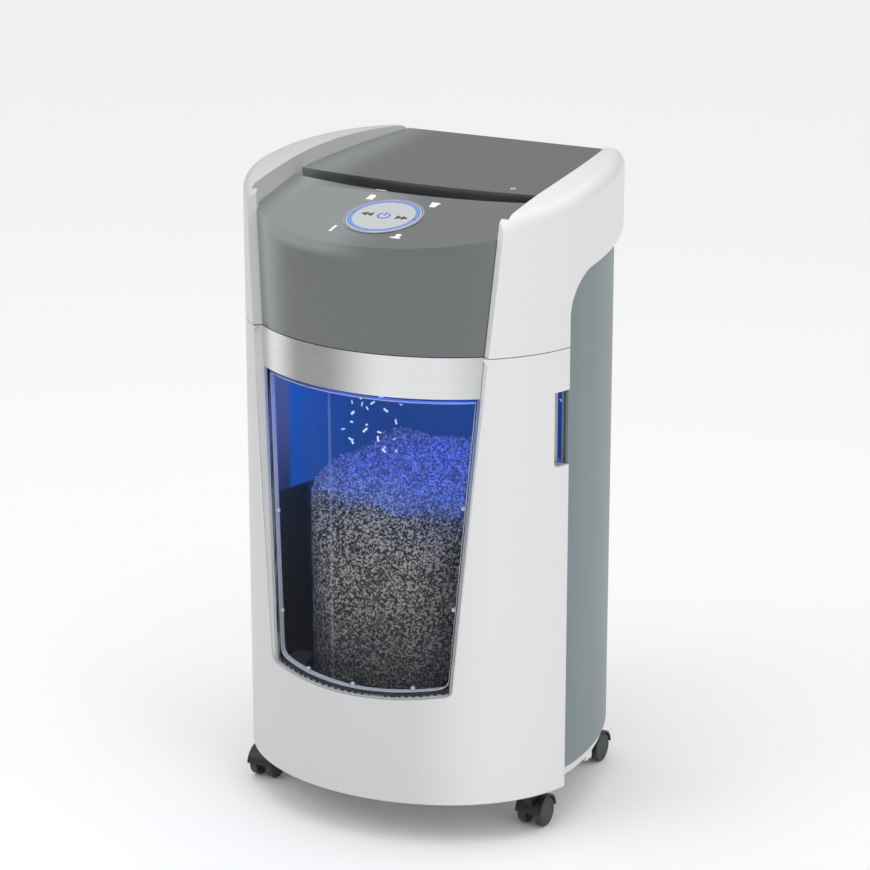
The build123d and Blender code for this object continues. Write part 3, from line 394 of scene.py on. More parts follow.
def window_plastic(name, tint, rim_tint):
    """Clear window with a pale polished rim along its sides and foot; higher up the rim turns blue, which is
    painted light from the lamp.
    """
    f = Finish(name)
    wipe = f.noise(5.0, 4.0)
    side = (f.z - PANE_HIGH.z) * PANE_TAPER + PANE_HIGH.x - f.x.maths("ABSOLUTE", f.x)
    foot = f.z - PANE_LOW.z - f.x * f.x * (PANE_SAG / 0.109**2)
    left = 1 - f.x.ramp(-0.03, 0.03)
    rim = 1 - side.maths("MINIMUM", side - left * 0.0030, foot).ramp(0.0018, 0.0024)
    # high turns the upper rim blue: painted light from the lamp.
    high = f.z.ramp(0.30, 0.45)
    lit_rim = f.blend(high, rim_tint, (0.25, 0.34, 0.72))
    return f.surface(
        Base_Color=f.blend(rim, tint, lit_rim),
        Roughness=wipe * 0.05 + 0.05,
        Alpha=rim * 0.66 + wipe * 0.008 + 0.012,
        Specular_IOR_Level=0.5,
    )


def glowing_plastic(name, colour, light, power):
    """Diffusing plastic lit from behind, a little uneven. The clinging paper uses it too, and there the glow is
    painted light from the lamp.
    """
    f = Finish(name)
    spread = f.noise(180.0)
    return f.surface(
        Base_Color=f.blend(spread, shade(colour, 0.9), colour),
        Roughness=0.4,
        Emission_Color=f.blend(spread, shade(light, 0.85), light),
        Emission_Strength=power,
    )


def chamber_wall(name, light, power):
    """Dark liner, whose blue is emission painted by height, in place of light from the lamp."""
    f = Finish(name)
    high = f.z.ramp(0.255, 0.275)
    back = f.y.ramp(0.02, 0.13)
    front = f.y.ramp(-0.045, 0.0)
    outside = f.x.maths("ABSOLUTE", f.x).ramp(0.1806, 0.1812)
    inside = f.y.ramp(-0.034, -0.028) * (1 - outside)
    uneven = f.noise(9.0)
    near = f.blend(front, (light[0] + 0.16, light[1] * 0.95, light[2] * 0.85), light)
    wash = f.blend(back, near, (light[0] * 1.8, light[1] * 0.66, light[2] * 0.62))
    dark = f.blend(high, (0.010, 0.012, 0.016), (0.02, 0.05, 0.16))
    return f.surface(
        Base_Color=f.blend(inside, (0.36, 0.37, 0.34), dark),
        Roughness=f.noise(70.0) * 0.1 + 0.4,
        Emission_Color=f.blend(high * inside * (uneven * 0.3 + 0.82), (0.0, 0.0, 0.0), wash),
        Emission_Strength=power,
        Normal=f.bump(f.noise(500.0), 0.00005, 0.4),
    )


def drawer_side(name, light, power):
    """Dark drawer wall, with a faint blue emission painted at its top in place of lamp light."""
    f = Finish(name)
    high = f.z.ramp(0.19, 0.30)
    return f.surface(
        Base_Color=f.blend(f.noise(20.0), (0.016, 0.019, 0.021), (0.026, 0.030, 0.033)),
        Roughness=f.noise(90.0) * 0.12 + 0.38,
        Emission_Color=f.blend(high, (0, 0, 0), shade(light, 0.03)),
        Emission_Strength=power,
        Normal=f.bump(f.noise(600.0), 0.00006, 0.4),
    )


def paper_shreds(name, light, power, tone):
    """Printed paper in scraps. Above a set height it is blue and glows: painted light from the lamp. Lower down
    it is darker towards the foot and towards the walls: painted shade.
    """
    f = Finish(name)
    scrap = tone(f)
    ink = scrap.ramp(0.35, 0.95)
    # lit: painted lamp light, a blue colour and glow above this height.
    lit = (f.z + f.noise(40.0) * 0.016).ramp(0.345, 0.356)
    # high and middle: painted shade, darker towards the foot and towards the walls.
    high = f.z.ramp(0.13, 0.36)
    middle = 1 - (f.x.maths("ABSOLUTE", f.x + 0.008)).ramp(0.03, 0.10) * 0.35
    pale = f.blend(high * middle, (0.15, 0.15, 0.14), (0.52, 0.52, 0.48))
    plain = f.blend(ink, (0.012, 0.013, 0.013), pale)
    blue = f.blend(ink, (0.03, 0.05, 0.18), (0.26, 0.34, 0.62))
    pale_light = (light[0] + 0.20, light[1] + 0.12, light[2] * 0.62)
    return f.surface(
        Base_Color=f.blend(lit, plain, blue),
        Roughness=f.noise(90.0) * 0.1 + 0.75,
        Emission_Color=f.blend(lit * (ink * 0.65 + 0.35), (0, 0, 0), pale_light),
        Emission_Strength=power,
        Normal=f.bump(f.cells(420.0), 0.0006, 0.5),
    )


def tyre_rubber(name, colour):
    """Grey tread rubber with scuffs."""
    f = Finish(name)
    scuff = f.noise(150.0, 5.0)
    return f.surface(
        Base_Color=f.blend(scuff.ramp(0.45, 0.7), colour, shade(colour, 1.7)),
        Roughness=scuff * 0.2 + 0.45,
        Normal=f.bump(scuff, 0.0001, 0.4),
    )


def studio_floor(name):
    """Plain pale floor."""
    f = Finish(name)
    return f.surface(
        Base_Color=f.blend(f.noise(0.7), (0.93, 0.93, 0.93), (0.94, 0.94, 0.94)),
        Roughness=f.noise(3.0) * 0.05 + 0.7,
    )


def dress(name, material):
    """Puts a finish on a frame node or a piece."""
    piece = NODES.get(name) or bpy.data.objects[name]
    piece.data.materials.clear()
    piece.data.materials.append(material)


# ---- modelling helpers ------------------------------------------------------------------


def clear_selection():
    """Deselects everything, so that an operator acts only on the new piece."""
    if bpy.context.object and bpy.context.object.mode != "OBJECT":
        bpy.ops.object.mode_set(mode="OBJECT")
    bpy.ops.object.select_all(action="DESELECT")


def settle(piece, name, body, material):
    """Names a finished piece, puts its place in its mesh, and hangs it on its body."""
    piece.name = name
    piece.data.name = name
    piece.data.transform(piece.matrix_world)
    piece.matrix_world = Matrix.Identity(4)
    piece.data.materials.clear()
    piece.data.materials.append(material)
    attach(piece, body)
    return piece


def plate_from(points, thick):
    """A flat plate with the outline of the points, extruded upwards from the plane z = 0."""
    clear_selection()
    bpy.ops.mesh.primitive_circle_add(vertices=len(points), radius=0.01, fill_type="NGON")
    piece = bpy.context.object
    for vertex, (u, v) in zip(piece.data.vertices, points):
        vertex.co = (u, v, 0)
    bpy.ops.object.mode_set(mode="EDIT")
    bpy.ops.mesh.select_all(action="SELECT")
    bpy.ops.mesh.extrude_region_move(TRANSFORM_OT_translate={"value": (0, 0, thick)})
    bpy.ops.mesh.select_all(action="SELECT")
    bpy.ops.mesh.normals_make_consistent(inside=False)
    bpy.ops.object.mode_set(mode="OBJECT")
    return piece


def join(pieces):
    """Joins finished shapes into one object."""
    clear_selection()
    for piece in pieces:
        piece.select_set(True)
    bpy.context.view_layer.objects.active = pieces[0]
    bpy.ops.object.join()
    return bpy.context.object


def lay_on_slope(piece, face):
    """Turns a shape made on z = 0 onto the console's slope, at a point on its face."""
    turn = Matrix((ACROSS, SLOPE, NORMAL)).transposed().to_4x4()
    piece.data.transform(Matrix.Translation(face) @ turn)


def ring_points(radius, start, end, steps):
    """Points round part of a circle, in degrees."""
    turns = [math.radians(start + (end - start) * k / steps) for k in range(steps + 1)]
    return [(radius * math.cos(turn), radius * math.sin(turn)) for turn in turns]


def moved(points, u, v):
    """The same outline somewhere else."""
    return [(x + u, y + v) for x, y in points]


def soften(piece, width, segments=2):
    """Rounds a piece's edges."""
    rounding = piece.modifiers.new("rounding", "BEVEL")
    rounding.width = width
    rounding.segments = segments
    clear_selection()
    piece.select_set(True)
    bpy.context.view_layer.objects.active = piece
    bpy.ops.object.modifier_apply(modifier="rounding")


# ---- shreds ---------------------------------------------------------------------------------


def curled_strip(width, radius, turn):
    """One paper shred: a thin section spun into a curl."""
    clear_selection()
    bpy.ops.mesh.primitive_plane_add(size=1)
    strip = bpy.context.object
    for vertex in strip.data.vertices:
        vertex.co.x *= width
        vertex.co.y *= 0.00025
    bpy.ops.object.mode_set(mode="EDIT")
    bpy.ops.mesh.select_all(action="SELECT")
    bpy.ops.mesh.spin(steps=5, angle=turn, center=(0, radius, 0), axis=(1, 0, 0))
    bpy.ops.mesh.select_all(action="SELECT")
    bpy.ops.mesh.normals_make_consistent(inside=False)
    bpy.ops.object.mode_set(mode="OBJECT")
    middle = sum((vertex.co for vertex in strip.data.vertices), Vector()) / len(strip.data.vertices)
    strip.data.transform(Matrix.Translation(-middle))
    return strip


def scatter(name, strips, places, body, material):
    """Copies of the strips at the places, joined, each with its own paper tone."""
    whole = bmesh.new()
    layer = whole.verts.layers.float.new("tone")
    for number, (place, turn, size) in enumerate(places):
        copy = strips[number % len(strips)].data.copy()
        copy.transform(Matrix.Translation(place) @ turn.to_4x4() @ Matrix.Scale(size, 4))
        first = len(whole.verts)
        whole.from_mesh(copy)
        whole.verts.ensure_lookup_table()
        tone = random.random()
        for vertex in whole.verts[first:]:
            vertex[layer] = tone
        bpy.data.meshes.remove(copy)
    mesh = bpy.data.meshes.new(name)
    whole.to_mesh(mesh)
    whole.free()
    piece = bpy.data.objects.new(name, mesh)
    bpy.context.scene.collection.objects.link(piece)
    return settle(piece, name, body, material)


def bin_half(inset=0.0):
    """Half-width of the bin's inside."""
    return BIN_HIGH.x - 7.5 * MM - inset


def heap_height(x, y, settings):
    """Top of the heap at a place in the bin."""
    middle = (BIN_LOW.y + BIN_HIGH.y) / 2
    across = min(1.0, abs(x) / 0.105)
    along = min(1.0, abs(y - middle - 0.02) / 0.14)
    wave = 0.004 * math.sin(x * 61 + 1.3) + 0.004 * math.sin(y * 47 + x * 31)
    return BIN_LOW.z + settings.fill + settings.dome * (1 - across**2 * 0.5) * (1 - along**2) + wave


def in_plan(x, y, inset):
    """Whether a place lies within the bin's rounded plan."""
    half = bin_half(inset)
    front = BIN_LOW.y + 8 * MM + inset
    back = BIN_HIGH.y - 8 * MM - inset
    for corner, middle_y, sign in ((0.070, front + 0.070, -1), (0.028, back - 0.028, 1)):
        past_x = abs(x) - (half - corner)
        past_y = (y - middle_y) * sign
        if past_x > 0 and past_y > 0 and math.hypot(past_x, past_y) > corner:
            return False
    return abs(x) < half and front < y < back


def random_turn():
    """Any way up."""
    return Matrix.Rotation(random.uniform(0, math.tau), 3, "Z") @ Matrix.Rotation(
        random.gauss(0, 0.6), 3, "X"
    ) @ Matrix.Rotation(random.gauss(0, 0.6), 3, "Y")


class SHREDDER_OT_heap(bpy.types.Operator):
    """Add the heap of shreds in the bin"""

    bl_idname = "shredder.heap"
    bl_label = "Heap of Shreds"

    def execute(self, context):
        settings = context.scene.shredder_shreds
        clear_selection()
        low = BIN_LOW.z + 3 * MM
        front = BIN_LOW.y + 8.6 * MM
        back = BIN_HIGH.y - 8.6 * MM
        high = low + settings.fill - 4 * MM
        bpy.ops.mesh.primitive_cube_add(size=1, location=(0, (front + back) / 2, (low + high) / 2))
        heap = context.object
        heap.scale = (2 * (BIN_HIGH.x - 10.2 * MM), back - front, high - low)
        bpy.ops.object.transform_apply(location=True, rotation=False, scale=True)
        for is_front, radius in ((True, 0.070), (False, 0.028)):
            bpy.ops.object.mode_set(mode="EDIT")
            bpy.ops.mesh.select_all(action="DESELECT")
            bpy.ops.object.mode_set(mode="OBJECT")
            for edge in heap.data.edges:
                a, b = (heap.data.vertices[i].co for i in edge.vertices)
                upright = abs(a.x - b.x) < 1e-6 and abs(a.y - b.y) < 1e-6 and abs(a.z - b.z) > 0.1
                at_corner = (a.y < front + 1e-4) if is_front else (a.y > back - 1e-4)
                edge.select = upright and at_corner
            bpy.ops.object.mode_set(mode="EDIT")
            bpy.ops.mesh.select_mode(type="EDGE")
            bpy.ops.mesh.bevel(offset=radius, segments=10)
            bpy.ops.object.mode_set(mode="OBJECT")
        voxels = heap.modifiers.new("voxels", "REMESH")
        voxels.mode = "VOXEL"
        voxels.voxel_size = 3.2 * MM
        bpy.ops.object.modifier_apply(modifier="voxels")
        for vertex in heap.data.vertices:
            share = max(0.0, (vertex.co.z - low) / (high - low))
            vertex.co.x *= 1 + 0.024 * share
            rise = heap_height(vertex.co.x, vertex.co.y, settings) - 4 * MM - high
            vertex.co.z += rise * share**3
        crumple = bpy.data.textures.new("crumple", "VORONOI")
        crumple.noise_scale = 0.005
        rough = heap.modifiers.new("crumple", "DISPLACE")
        rough.texture = crumple
        rough.texture_coords = "GLOBAL"
        rough.strength = 3.5 * MM
        rough.mid_level = 0.6
        bpy.ops.object.modifier_apply(modifier="crumple")
        look = finishes()["heap"]
        settle(heap, "shred_heap", "bin", look)
        return {"FINISHED"}


class SHREDDER_OT_shreds(bpy.types.Operator):
    """Add loose shreds on the heap, at the bin's wall and clinging to it"""

    bl_idname = "shredder.shreds"
    bl_label = "Loose Shreds"

    def execute(self, context):
        settings = context.scene.shredder_shreds
        random.seed(7)
        width, reach = settings.strip_width, settings.strip_reach
        strips = [
            curled_strip(width, reach, math.radians(50)),
            curled_strip(width * 0.9, reach * 0.6, math.radians(95)),
            curled_strip(width * 1.1, reach * 1.8, math.radians(30)),
        ]
        tops = []
        while len(tops) < settings.top_count:
            x = random.uniform(-0.11, 0.11)
            y = random.uniform(BIN_LOW.y, BIN_HIGH.y)
            if in_plan(x, y, 8 * MM):
                z = heap_height(x, y, settings) + random.uniform(-0.002, 0.002)
                tops.append((Vector((x, y, z)), random_turn(), random.uniform(0.7, 1.2)))
        look = finishes()["strip"]
        scatter("shreds_on_heap", strips, tops, "bin", look)

        sides = []
        while len(sides) < settings.side_count:
            x = random.uniform(-0.11, 0.11)
            y = random.uniform(BIN_LOW.y, BIN_HIGH.y - 0.08)
            if in_plan(x, y, 3.2 * MM) and not in_plan(x, y, 5.5 * MM):
                top = heap_height(x, y, settings)
                z = BIN_LOW.z + 0.008 + (top - BIN_LOW.z - 0.01) * random.random() ** 0.8
                middle = Vector((0, BIN_LOW.y + 0.08))
                away = Vector((x, y)) - middle
                heading = math.atan2(away.y, away.x) if y < middle.y else (0 if x > 0 else math.pi)
                turn = Matrix.Rotation(heading - math.pi / 2, 3, "Z")
                turn = turn @ Matrix.Rotation(random.uniform(0, math.tau), 3, "Y")
                sides.append((Vector((x, y, z)), turn, random.uniform(0.5, 0.8)))
        scatter("shreds_at_wall", strips, sides, "bin", look)

        clings = []
        while len(clings) < settings.cling_count:
            x = random.uniform(-0.036, 0.036)
            z = random.uniform(0.405, 0.476)
            turn = Matrix.Rotation(random.uniform(0, math.tau), 3, "Y")
            at_back = len(clings) % 2
            if at_back:
                x = x * 2.4 + 0.010
            y = BIN_HIGH.y - 9.5 * MM if at_back else BIN_LOW.y + 9.5 * MM
            clings.append((Vector((x, y, z)), turn, random.uniform(0.9, 1.7)))
        scatter("shreds_clinging", strips, clings, "bin", finishes()["cling"])
        for strip in strips:
            bpy.data.objects.remove(strip)
        return {"FINISHED"}


# ---- window trim ----------------------------------------------------------------------------


def window_border(inset, depth):
    """Closed line round the window, inside the pane's edge and behind its face."""
    top = PANE_HIGH.z - inset

    def half(z):
        return PANE_HIGH.x - (PANE_HIGH.z - z) * PANE_TAPER - inset

    def foot(x):
        return PANE_LOW.z + inset + PANE_SAG * (x / half(PANE_LOW.z)) ** 2

    corner = half(PANE_LOW.z + PANE_SAG)
    reach = 10 * MM
    side = [top + (foot(corner) + reach - top) * k / 16 for k in range(17)]
    start = Vector((half(side[-1]), side[-1]))
    bend = Vector((corner, foot(corner)))
    stop = Vector((corner - reach, foot(corner - reach)))
    turn = [start * (1 - t) ** 2 + bend * 2 * t * (1 - t) + stop * t**2 for t in (0.2, 0.4, 0.6, 0.8)]
    right = [Vector((half(z), z)) for z in side] + turn
    base = [Vector((stop.x * (1 - k / 12), foot(stop.x * (1 - k / 12)))) for k in range(24)]
    left = [Vector((-p.x, p.y)) for p in reversed(right)]
    across = [Vector((half(top) * (-1 + k / 8), top)) for k in range(1, 16)]
    line = right + base + left + across
    share = PANE_LEAN / (PANE_HIGH.z - PANE_LOW.z)
    face = PANE_LOW.y + PANE_RADIUS + depth
    return [
        Vector((p.x, face + (p.y - PANE_LOW.z) * share - math.sqrt(PANE_RADIUS**2 - p.x**2), p.y)) for p in line
    ]


class SHREDDER_OT_window_lip(bpy.types.Operator):
    """Add the pale lip behind the window's edge and its clips"""

    bl_idname = "shredder.window_lip"
    bl_label = "Window Lip"

    def execute(self, context):
        line = window_border(5.6 * MM, 6.3 * MM)
        clear_selection()
        bpy.ops.mesh.primitive_circle_add(vertices=len(line), radius=0.1, fill_type="NOTHING")
        lip = context.object
        for vertex, place in zip(lip.data.vertices, line):
            vertex.co = place
        bpy.ops.object.mode_set(mode="EDIT")
        bpy.ops.mesh.select_all(action="SELECT")
        bpy.ops.mesh.extrude_region_move(TRANSFORM_OT_translate={"value": (0, 7 * MM, 0)})
        bpy.ops.mesh.select_all(action="SELECT")
        bpy.ops.mesh.normals_make_consistent(inside=False)
        bpy.ops.object.mode_set(mode="OBJECT")
        wall = lip.modifiers.new("wall", "SOLIDIFY")
        wall.thickness = 0.9 * MM
        wall.offset = 0
        bpy.ops.object.modifier_apply(modifier="wall")
        settle(lip, "window_lip", "drawer", finishes()["lip"])

        inner = window_border(8.4 * MM, 9.0 * MM)
        clips = []
        for number in (6, 12, 24, 33, 41, 51, 57):
            clear_selection()
            bpy.ops.mesh.primitive_cube_add(size=1, location=inner[number])
            clip = context.object
            clip.scale = (4.4 * MM, 3.4 * MM, 4.4 * MM)
            bpy.ops.object.transform_apply(location=True, rotation=False, scale=True)
            soften(clip, 1.2 * MM, 3)
            clips.append(clip)
        settle(join(clips), "window_clips", "drawer", finishes()["lip"])
        return {"FINISHED"}


# ---- glyphs -----------------------------------------------------------------------------------


class SHREDDER_OT_disc_glyphs(bpy.types.Operator):
    """Add the reverse, power and forward glyphs on the control disc"""

    bl_idname = "shredder.disc_glyphs"
    bl_label = "Disc Glyphs"

    def execute(self, context):
        thick = 0.25 * MM
        arrows = []
        for side, middle in ((-1, -13.0), (1, 14.5)):
            for step in (0.0, 6.6):
                foot = (middle + side * step) * MM
                shape = [(foot + side * 7.2 * MM, 0), (foot, 4.3 * MM), (foot, -4.3 * MM)]
                arrows.append(plate_from(shape if side < 0 else shape[::-1], thick))
        arrows = join(arrows)
        lay_on_slope(arrows, DISC_FACE)
        settle(arrows, "disc_arrows", "disc", finishes()["glyph_dark"])

        outer = ring_points(7.2 * MM, 122, 418, 36)
        inner = ring_points(5.4 * MM, 122, 418, 36)
        ring = plate_from(outer + inner[::-1], thick)
        bar = [(-0.9 * MM, 0.6 * MM), (0.9 * MM, 0.6 * MM), (0.9 * MM, 8.8 * MM), (-0.9 * MM, 8.8 * MM)]
        power = join([ring, plate_from(bar, thick)])
        lay_on_slope(power, DISC_FACE)
        settle(power, "disc_power_mark", "disc", finishes()["glyph_blue"])
        return {"FINISHED"}


class SHREDDER_OT_console_icons(bpy.types.Operator):
    """Add the four small status icons on the console and the ready light on the deck"""

    bl_idname = "shredder.console_icons"
    bl_label = "Console Icons"

    def execute(self, context):
        thick = 0.3 * MM
        icon_size = 1.6 * MM
        icon_x = LENS_HIGH.x - 3.0 * MM
        icon_y = (LENS_HIGH.y - LENS_LOW.y) / 2 / SLOPE.y - 3.0 * MM
        page = [(-2.4, -3.6), (2.4, -3.6), (2.4, 2.2), (1.0, 3.8), (-2.4, 3.8)]
        sack = [
            (-2.0, -3.8), (2.0, -3.8), (2.9, 2.2), (3.2, 2.2),
            (3.2, 3.2), (-3.2, 3.2), (-3.2, 2.2), (-2.9, 2.2),
        ]
        bar = [(-0.9, -4.4), (0.9, -4.4), (0.9, 4.4), (-0.9, 4.4)]
        tray = [
            (-3.4, -3.0), (3.6, -3.0), (3.6, -1.6), (2.2, -1.6),
            (2.2, 3.2), (-1.2, 3.2), (-1.2, -1.6), (-3.4, -1.6),
        ]
        icons = []
        for shape, side, way in ((page, -1, 1), (sack, 1, 1), (bar, -1, -1), (tray, 1, -1)):
            points = [(u * icon_size, v * icon_size) for u, v in shape]
            icons.append(plate_from(moved(points, side * icon_x, way * icon_y), thick))
        icons = join(icons)
        lay_on_slope(icons, CONSOLE_FACE)
        settle(icons, "console_icons", "cabinet", finishes()["icon"])

        outer = ring_points(2.8 * MM, 0, 350, 30)
        inner = ring_points(2.1 * MM, 0, 350, 30)
        ready = plate_from(outer + inner[::-1], thick)
        slope = math.atan2(DECK_RISE, DECK_RUN)
        spot = Vector((0.098, DECK_LOW.y + 0.0205, 0.0))
        rise = DECK_EDGE_Z + (spot.y - DECK_EDGE_Y) * math.tan(slope)
        ready.data.transform(Matrix.Translation((spot.x, spot.y, rise)) @ Matrix.Rotation(slope, 4, "X"))
        settle(ready, "ready_light", "cabinet", finishes()["icon"])
        return {"FINISHED"}


# ---- finishes ----------------------------------------------------------------------------------

_made = {}


def finishes():
    """All the materials, made once."""
    if _made:
        return _made
    look = bpy.context.scene.shredder_finish
    glow, power = tuple(look.glow), look.glow_power
    _made.update(
        shell=gloss_plastic("gloss_white_plastic", tuple(look.shell), left=0.66),
        cover=grained_plastic("grained_grey_plastic", tuple(look.cover), 0.42),
        console=metallic_paint("dark_metallic_paint", tuple(look.console)),
        band=satin_band("satin_silver_band", tuple(look.band)),
        pane=window_plastic("window_acrylic", (0.30, 0.34, 0.42), (0.50, 0.52, 0.55)),
        bin=clear_plastic("bin_acrylic", (0.10, 0.16, 0.42), 0.003, 0.36),
        liner=chamber_wall("lamp_lit_liner", glow, power),
        side=drawer_side("drawer_side_plastic", glow, power),
        black=grained_plastic("black_plastic", (0.012, 0.012, 0.013), 0.42),
        grey=grained_plastic("grey_plastic", (0.15, 0.155, 0.17), 0.45),
        beige=grained_plastic("recess_plastic", (0.46, 0.47, 0.46), 0.5),
        steel=brushed_metal("ground_steel", (0.50, 0.51, 0.53), (900, 40, 40), 0.3),
        zinc=brushed_metal("zinc_plate", (0.62, 0.63, 0.62), (60, 60, 400), 0.38),
        nylon=grained_plastic("gear_nylon", (0.62, 0.60, 0.52), 0.5),
        board=grained_plastic("circuit_board", (0.012, 0.10, 0.05), 0.4, 300.0),
        lamp=glowing_plastic("lamp_diffuser", (0.6, 0.7, 1.0), (0.10, 0.22, 1.0), 2.0),
        ring=glowing_plastic("disc_light_ring", (0.14, 0.22, 0.55), (0.10, 0.20, 0.70), 0.22),
        icon=glowing_plastic("icon_white", (0.85, 0.87, 0.88), (0.9, 0.95, 1.0), 0.12),
        glyph_dark=grained_plastic("glyph_ink", (0.03, 0.035, 0.05), 0.4),
        glyph_blue=glowing_plastic("glyph_blue", (0.07, 0.15, 0.48), (0.05, 0.16, 0.8), 0.12),
        disc=gloss_plastic("disc_silver", (0.50, 0.52, 0.53), left=0.95),
        bezel=brushed_metal("bezel_silver", (0.45, 0.46, 0.48), (300, 300, 300), 0.25),
        wheel=tyre_rubber("wheel_rubber", (0.035, 0.038, 0.04)),
        heap=paper_shreds("shred_heap_paper", glow, power, lambda f: f.cells(560.0)),
        strip=paper_shreds(
            "shred_strip_paper",
            glow,
            power,
            lambda f: f.node("ShaderNodeAttribute", {"attribute_name": "tone"}, {}, output="Fac"),
        ),
        # The clinging paper's pale blue colour and glow are painted light from the lamp; paper gives no light.
        cling=glowing_plastic("clinging_paper_painted_lamp_light", (0.75, 0.80, 0.92), (0.50, 0.62, 1.0), 0.40),
        lip=gloss_plastic("window_lip", (0.50, 0.54, 0.60), left=0.9),
        floor=studio_floor("pale_floor"),
    )
    return _made


DRESSED = {
    "shell": ("arm_left", "arm_right", "drawer_shell", "base_plate"),
    "cover": ("rear_cover",),
    "console": ("front_console", "rear_deck", "status_lenses"),
    "band": ("silver_band",),
    "pane": ("window_pane",),
    "bin": ("waste_bin",),
    "liner": ("inner_liner",),
    "side": ("drawer_sides",),
    "black": (
        "head_tray", "window_gasket", "disc_carrier", "stripper_combs", "gear_cover", "motor_fan",
        "interlock_switch", "mains_inlet", "switch_housing", "switch_rocker",
    ),
    "grey": ("drawer_floor", "drawer_shelf"),
    "beige": ("pull_cups",),
    "steel": (
        "paper_guide_front", "paper_guide_rear", "cutter_front", "cutter_rear", "sync_gear_front",
        "sync_gear_rear", "drive_gear", "idler_axle", "motor_rotor", "motor_body",
    ),
    "zinc": (
        "cutter_plate_left", "cutter_plate_right", "tie_rods", "cutter_bearings", "fixed_rails",
        "middle_rails", "moving_rails", "screws", "castor_stems",
    ),
    "nylon": ("idler_gear",),
    "board": ("control_board", "power_board"),
    "lamp": ("led_lamp",),
    "ring": ("light_ring",),
    "disc": ("control_disc",),
    "bezel": ("disc_bezel",),
}


class SHREDDER_OT_finishes(bpy.types.Operator):
    """Give every part of the frame its finish"""

    bl_idname = "shredder.finishes"
    bl_label = "Finishes"

    def execute(self, context):
        for finish, names in DRESSED.items():
            for name in names:
                dress(name, finishes()[finish])
        for name in NODES:
            if name.startswith("castor_hood"):
                dress(name, finishes()["black"])
            if name.startswith("castor_wheels"):
                dress(name, finishes()["wheel"])
        return {"FINISHED"}


# ---- stage -----------------------------------------------------------------------------------------


def panel_light(name, place, target, size, power, colour=(1, 1, 1)):
    """A soft rectangular light turned towards a point."""
    lamp = bpy.data.lights.new(name, "AREA")
    lamp.shape = "RECTANGLE"
    lamp.size, lamp.size_y = size
    lamp.energy = power
    lamp.color = colour
    holder = bpy.data.objects.new(name, lamp)
    bpy.context.scene.collection.objects.link(holder)
    holder.location = place
    holder.rotation_euler = (Vector(target) - Vector(place)).to_track_quat("-Z", "Y").to_euler()
    return holder


def soft_room(name):
    """A pale room: its walls are lighter and darker by turns, and its ceiling is brightest."""
    world = bpy.data.worlds.new(name)
    world.use_nodes = True
    room = Wiring(world.node_tree)
    way = room.node("ShaderNodeTexCoord", {}, {}, output="Generated")
    x = room.node("ShaderNodeSeparateXYZ", {}, {"Vector": way}, output="X")
    y = Wire(room, x.socket.node.outputs["Y"])
    z = Wire(room, x.socket.node.outputs["Z"])
    bearing = x.maths("ARCTAN2", x, y * -1) * (0.5 / math.pi) + 0.5
    wall = room.node("ShaderNodeValToRGB", {}, {"Fac": bearing})
    stops = wall.socket.node.color_ramp
    stops.interpolation = "EASE"
    while len(stops.elements) < len(ROOM_LEVELS):
        stops.elements.new(0.5)
    for stop, (degrees, level) in zip(stops.elements, ROOM_LEVELS):
        stop.position = degrees / 360 + 0.5
        stop.color = (level, level, level, 1)
    ceiling = z.ramp(0.25, 0.85)
    light = room.blend(ceiling, wall, (1.75, 1.75, 1.75))
    shown = room.node("ShaderNodeBackground", {}, {"Color": light, "Strength": 0.66})
    out = room.tree.nodes.new("ShaderNodeOutputWorld")
    room.tree.links.new(shown.socket, out.inputs["Surface"])
    return world


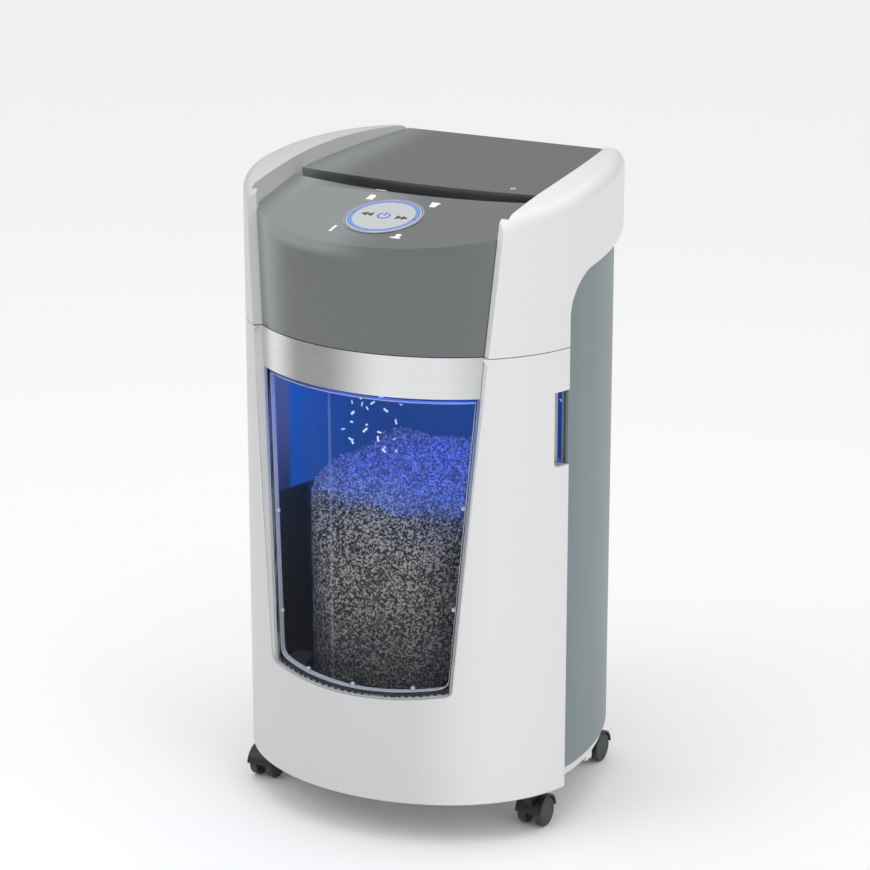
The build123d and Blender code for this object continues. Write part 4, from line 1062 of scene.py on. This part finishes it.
class SHREDDER_OT_stage(bpy.types.Operator):
    """Add the floor, the lights and the camera"""

    bl_idname = "shredder.stage"
    bl_label = "Studio"

    def execute(self, context):
        studio = context.scene.shredder_studio
        clear_selection()
        bpy.ops.mesh.primitive_plane_add(size=40, location=(0, 0, 0))
        floor = context.object
        floor.name = "floor"
        floor.data.materials.append(finishes()["floor"])

        context.scene.world = soft_room("studio")
        middle = (0, 0, 0.4)
        panel_light("key", (-1.6, -2.2, 2.4), middle, (1.4, 1.4), studio.key_power)
        panel_light("fill", (2.6, -1.4, 1.2), middle, (0.8, 2.2), studio.fill_power)
        panel_light("top", (0.2, -0.4, 2.6), middle, (1.6, 1.6), studio.fill_power)
        blue = (0.05, 0.14, 1.0)
        panel_light("chamber", (0, -0.02, 0.515), (0, -0.01, 0.2), (0.2, 0.12), studio.lamp_power, blue)

        a, e = studio.azimuth, studio.elevation
        lens = bpy.data.cameras.new("camera")
        lens.lens = studio.lens
        lens.sensor_width = 36.0
        lens.clip_end = 50.0
        camera = bpy.data.objects.new("camera", lens)
        context.scene.collection.objects.link(camera)
        camera.location = (1.50886, -2.73943, 1.36560)
        ahead = Vector((-math.sin(a) * math.cos(e), math.cos(a) * math.cos(e), -math.sin(e)))
        camera.rotation_euler = ahead.to_track_quat("-Z", "Y").to_euler()
        context.scene.camera = camera
        context.scene.view_settings.view_transform = "Standard"
        return {"FINISHED"}


class SHREDDER_PT_panel(bpy.types.Panel):
    """Buttons for the shredder's pieces"""

    bl_label = "Shredder"
    bl_idname = "SHREDDER_PT_panel"
    bl_space_type = "VIEW_3D"
    bl_region_type = "UI"
    bl_category = "Shredder"

    def draw(self, context):
        for group in ("shredder_finish", "shredder_shreds", "shredder_studio"):
            settings = getattr(context.scene, group)
            box = self.layout.box()
            for key in settings.__annotations__:
                box.prop(settings, key)
        for operator in OPERATORS:
            self.layout.operator(operator.bl_idname)


OPERATORS = (
    SHREDDER_OT_finishes,
    SHREDDER_OT_heap,
    SHREDDER_OT_shreds,
    SHREDDER_OT_window_lip,
    SHREDDER_OT_disc_glyphs,
    SHREDDER_OT_console_icons,
    SHREDDER_OT_stage,
)
GROUPS = {
    "shredder_finish": ShredderFinish,
    "shredder_shreds": ShredderShreds,
    "shredder_studio": ShredderStudio,
}


def register():
    for name, group in GROUPS.items():
        bpy.utils.register_class(group)
        setattr(bpy.types.Scene, name, bpy.props.PointerProperty(type=group))
    for operator in OPERATORS:
        bpy.utils.register_class(operator)
    bpy.utils.register_class(SHREDDER_PT_panel)


def unregister():
    bpy.utils.unregister_class(SHREDDER_PT_panel)
    for operator in reversed(OPERATORS):
        bpy.utils.unregister_class(operator)
    for name, group in GROUPS.items():
        delattr(bpy.types.Scene, name)
        bpy.utils.unregister_class(group)


def main():
    register()
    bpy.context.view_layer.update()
    bpy.ops.shredder.finishes()
    bpy.ops.shredder.heap()
    bpy.ops.shredder.shreds()
    bpy.ops.shredder.window_lip()
    bpy.ops.shredder.disc_glyphs()
    bpy.ops.shredder.console_icons()
    bpy.ops.shredder.stage()


if __name__ == "__main__":
    main()
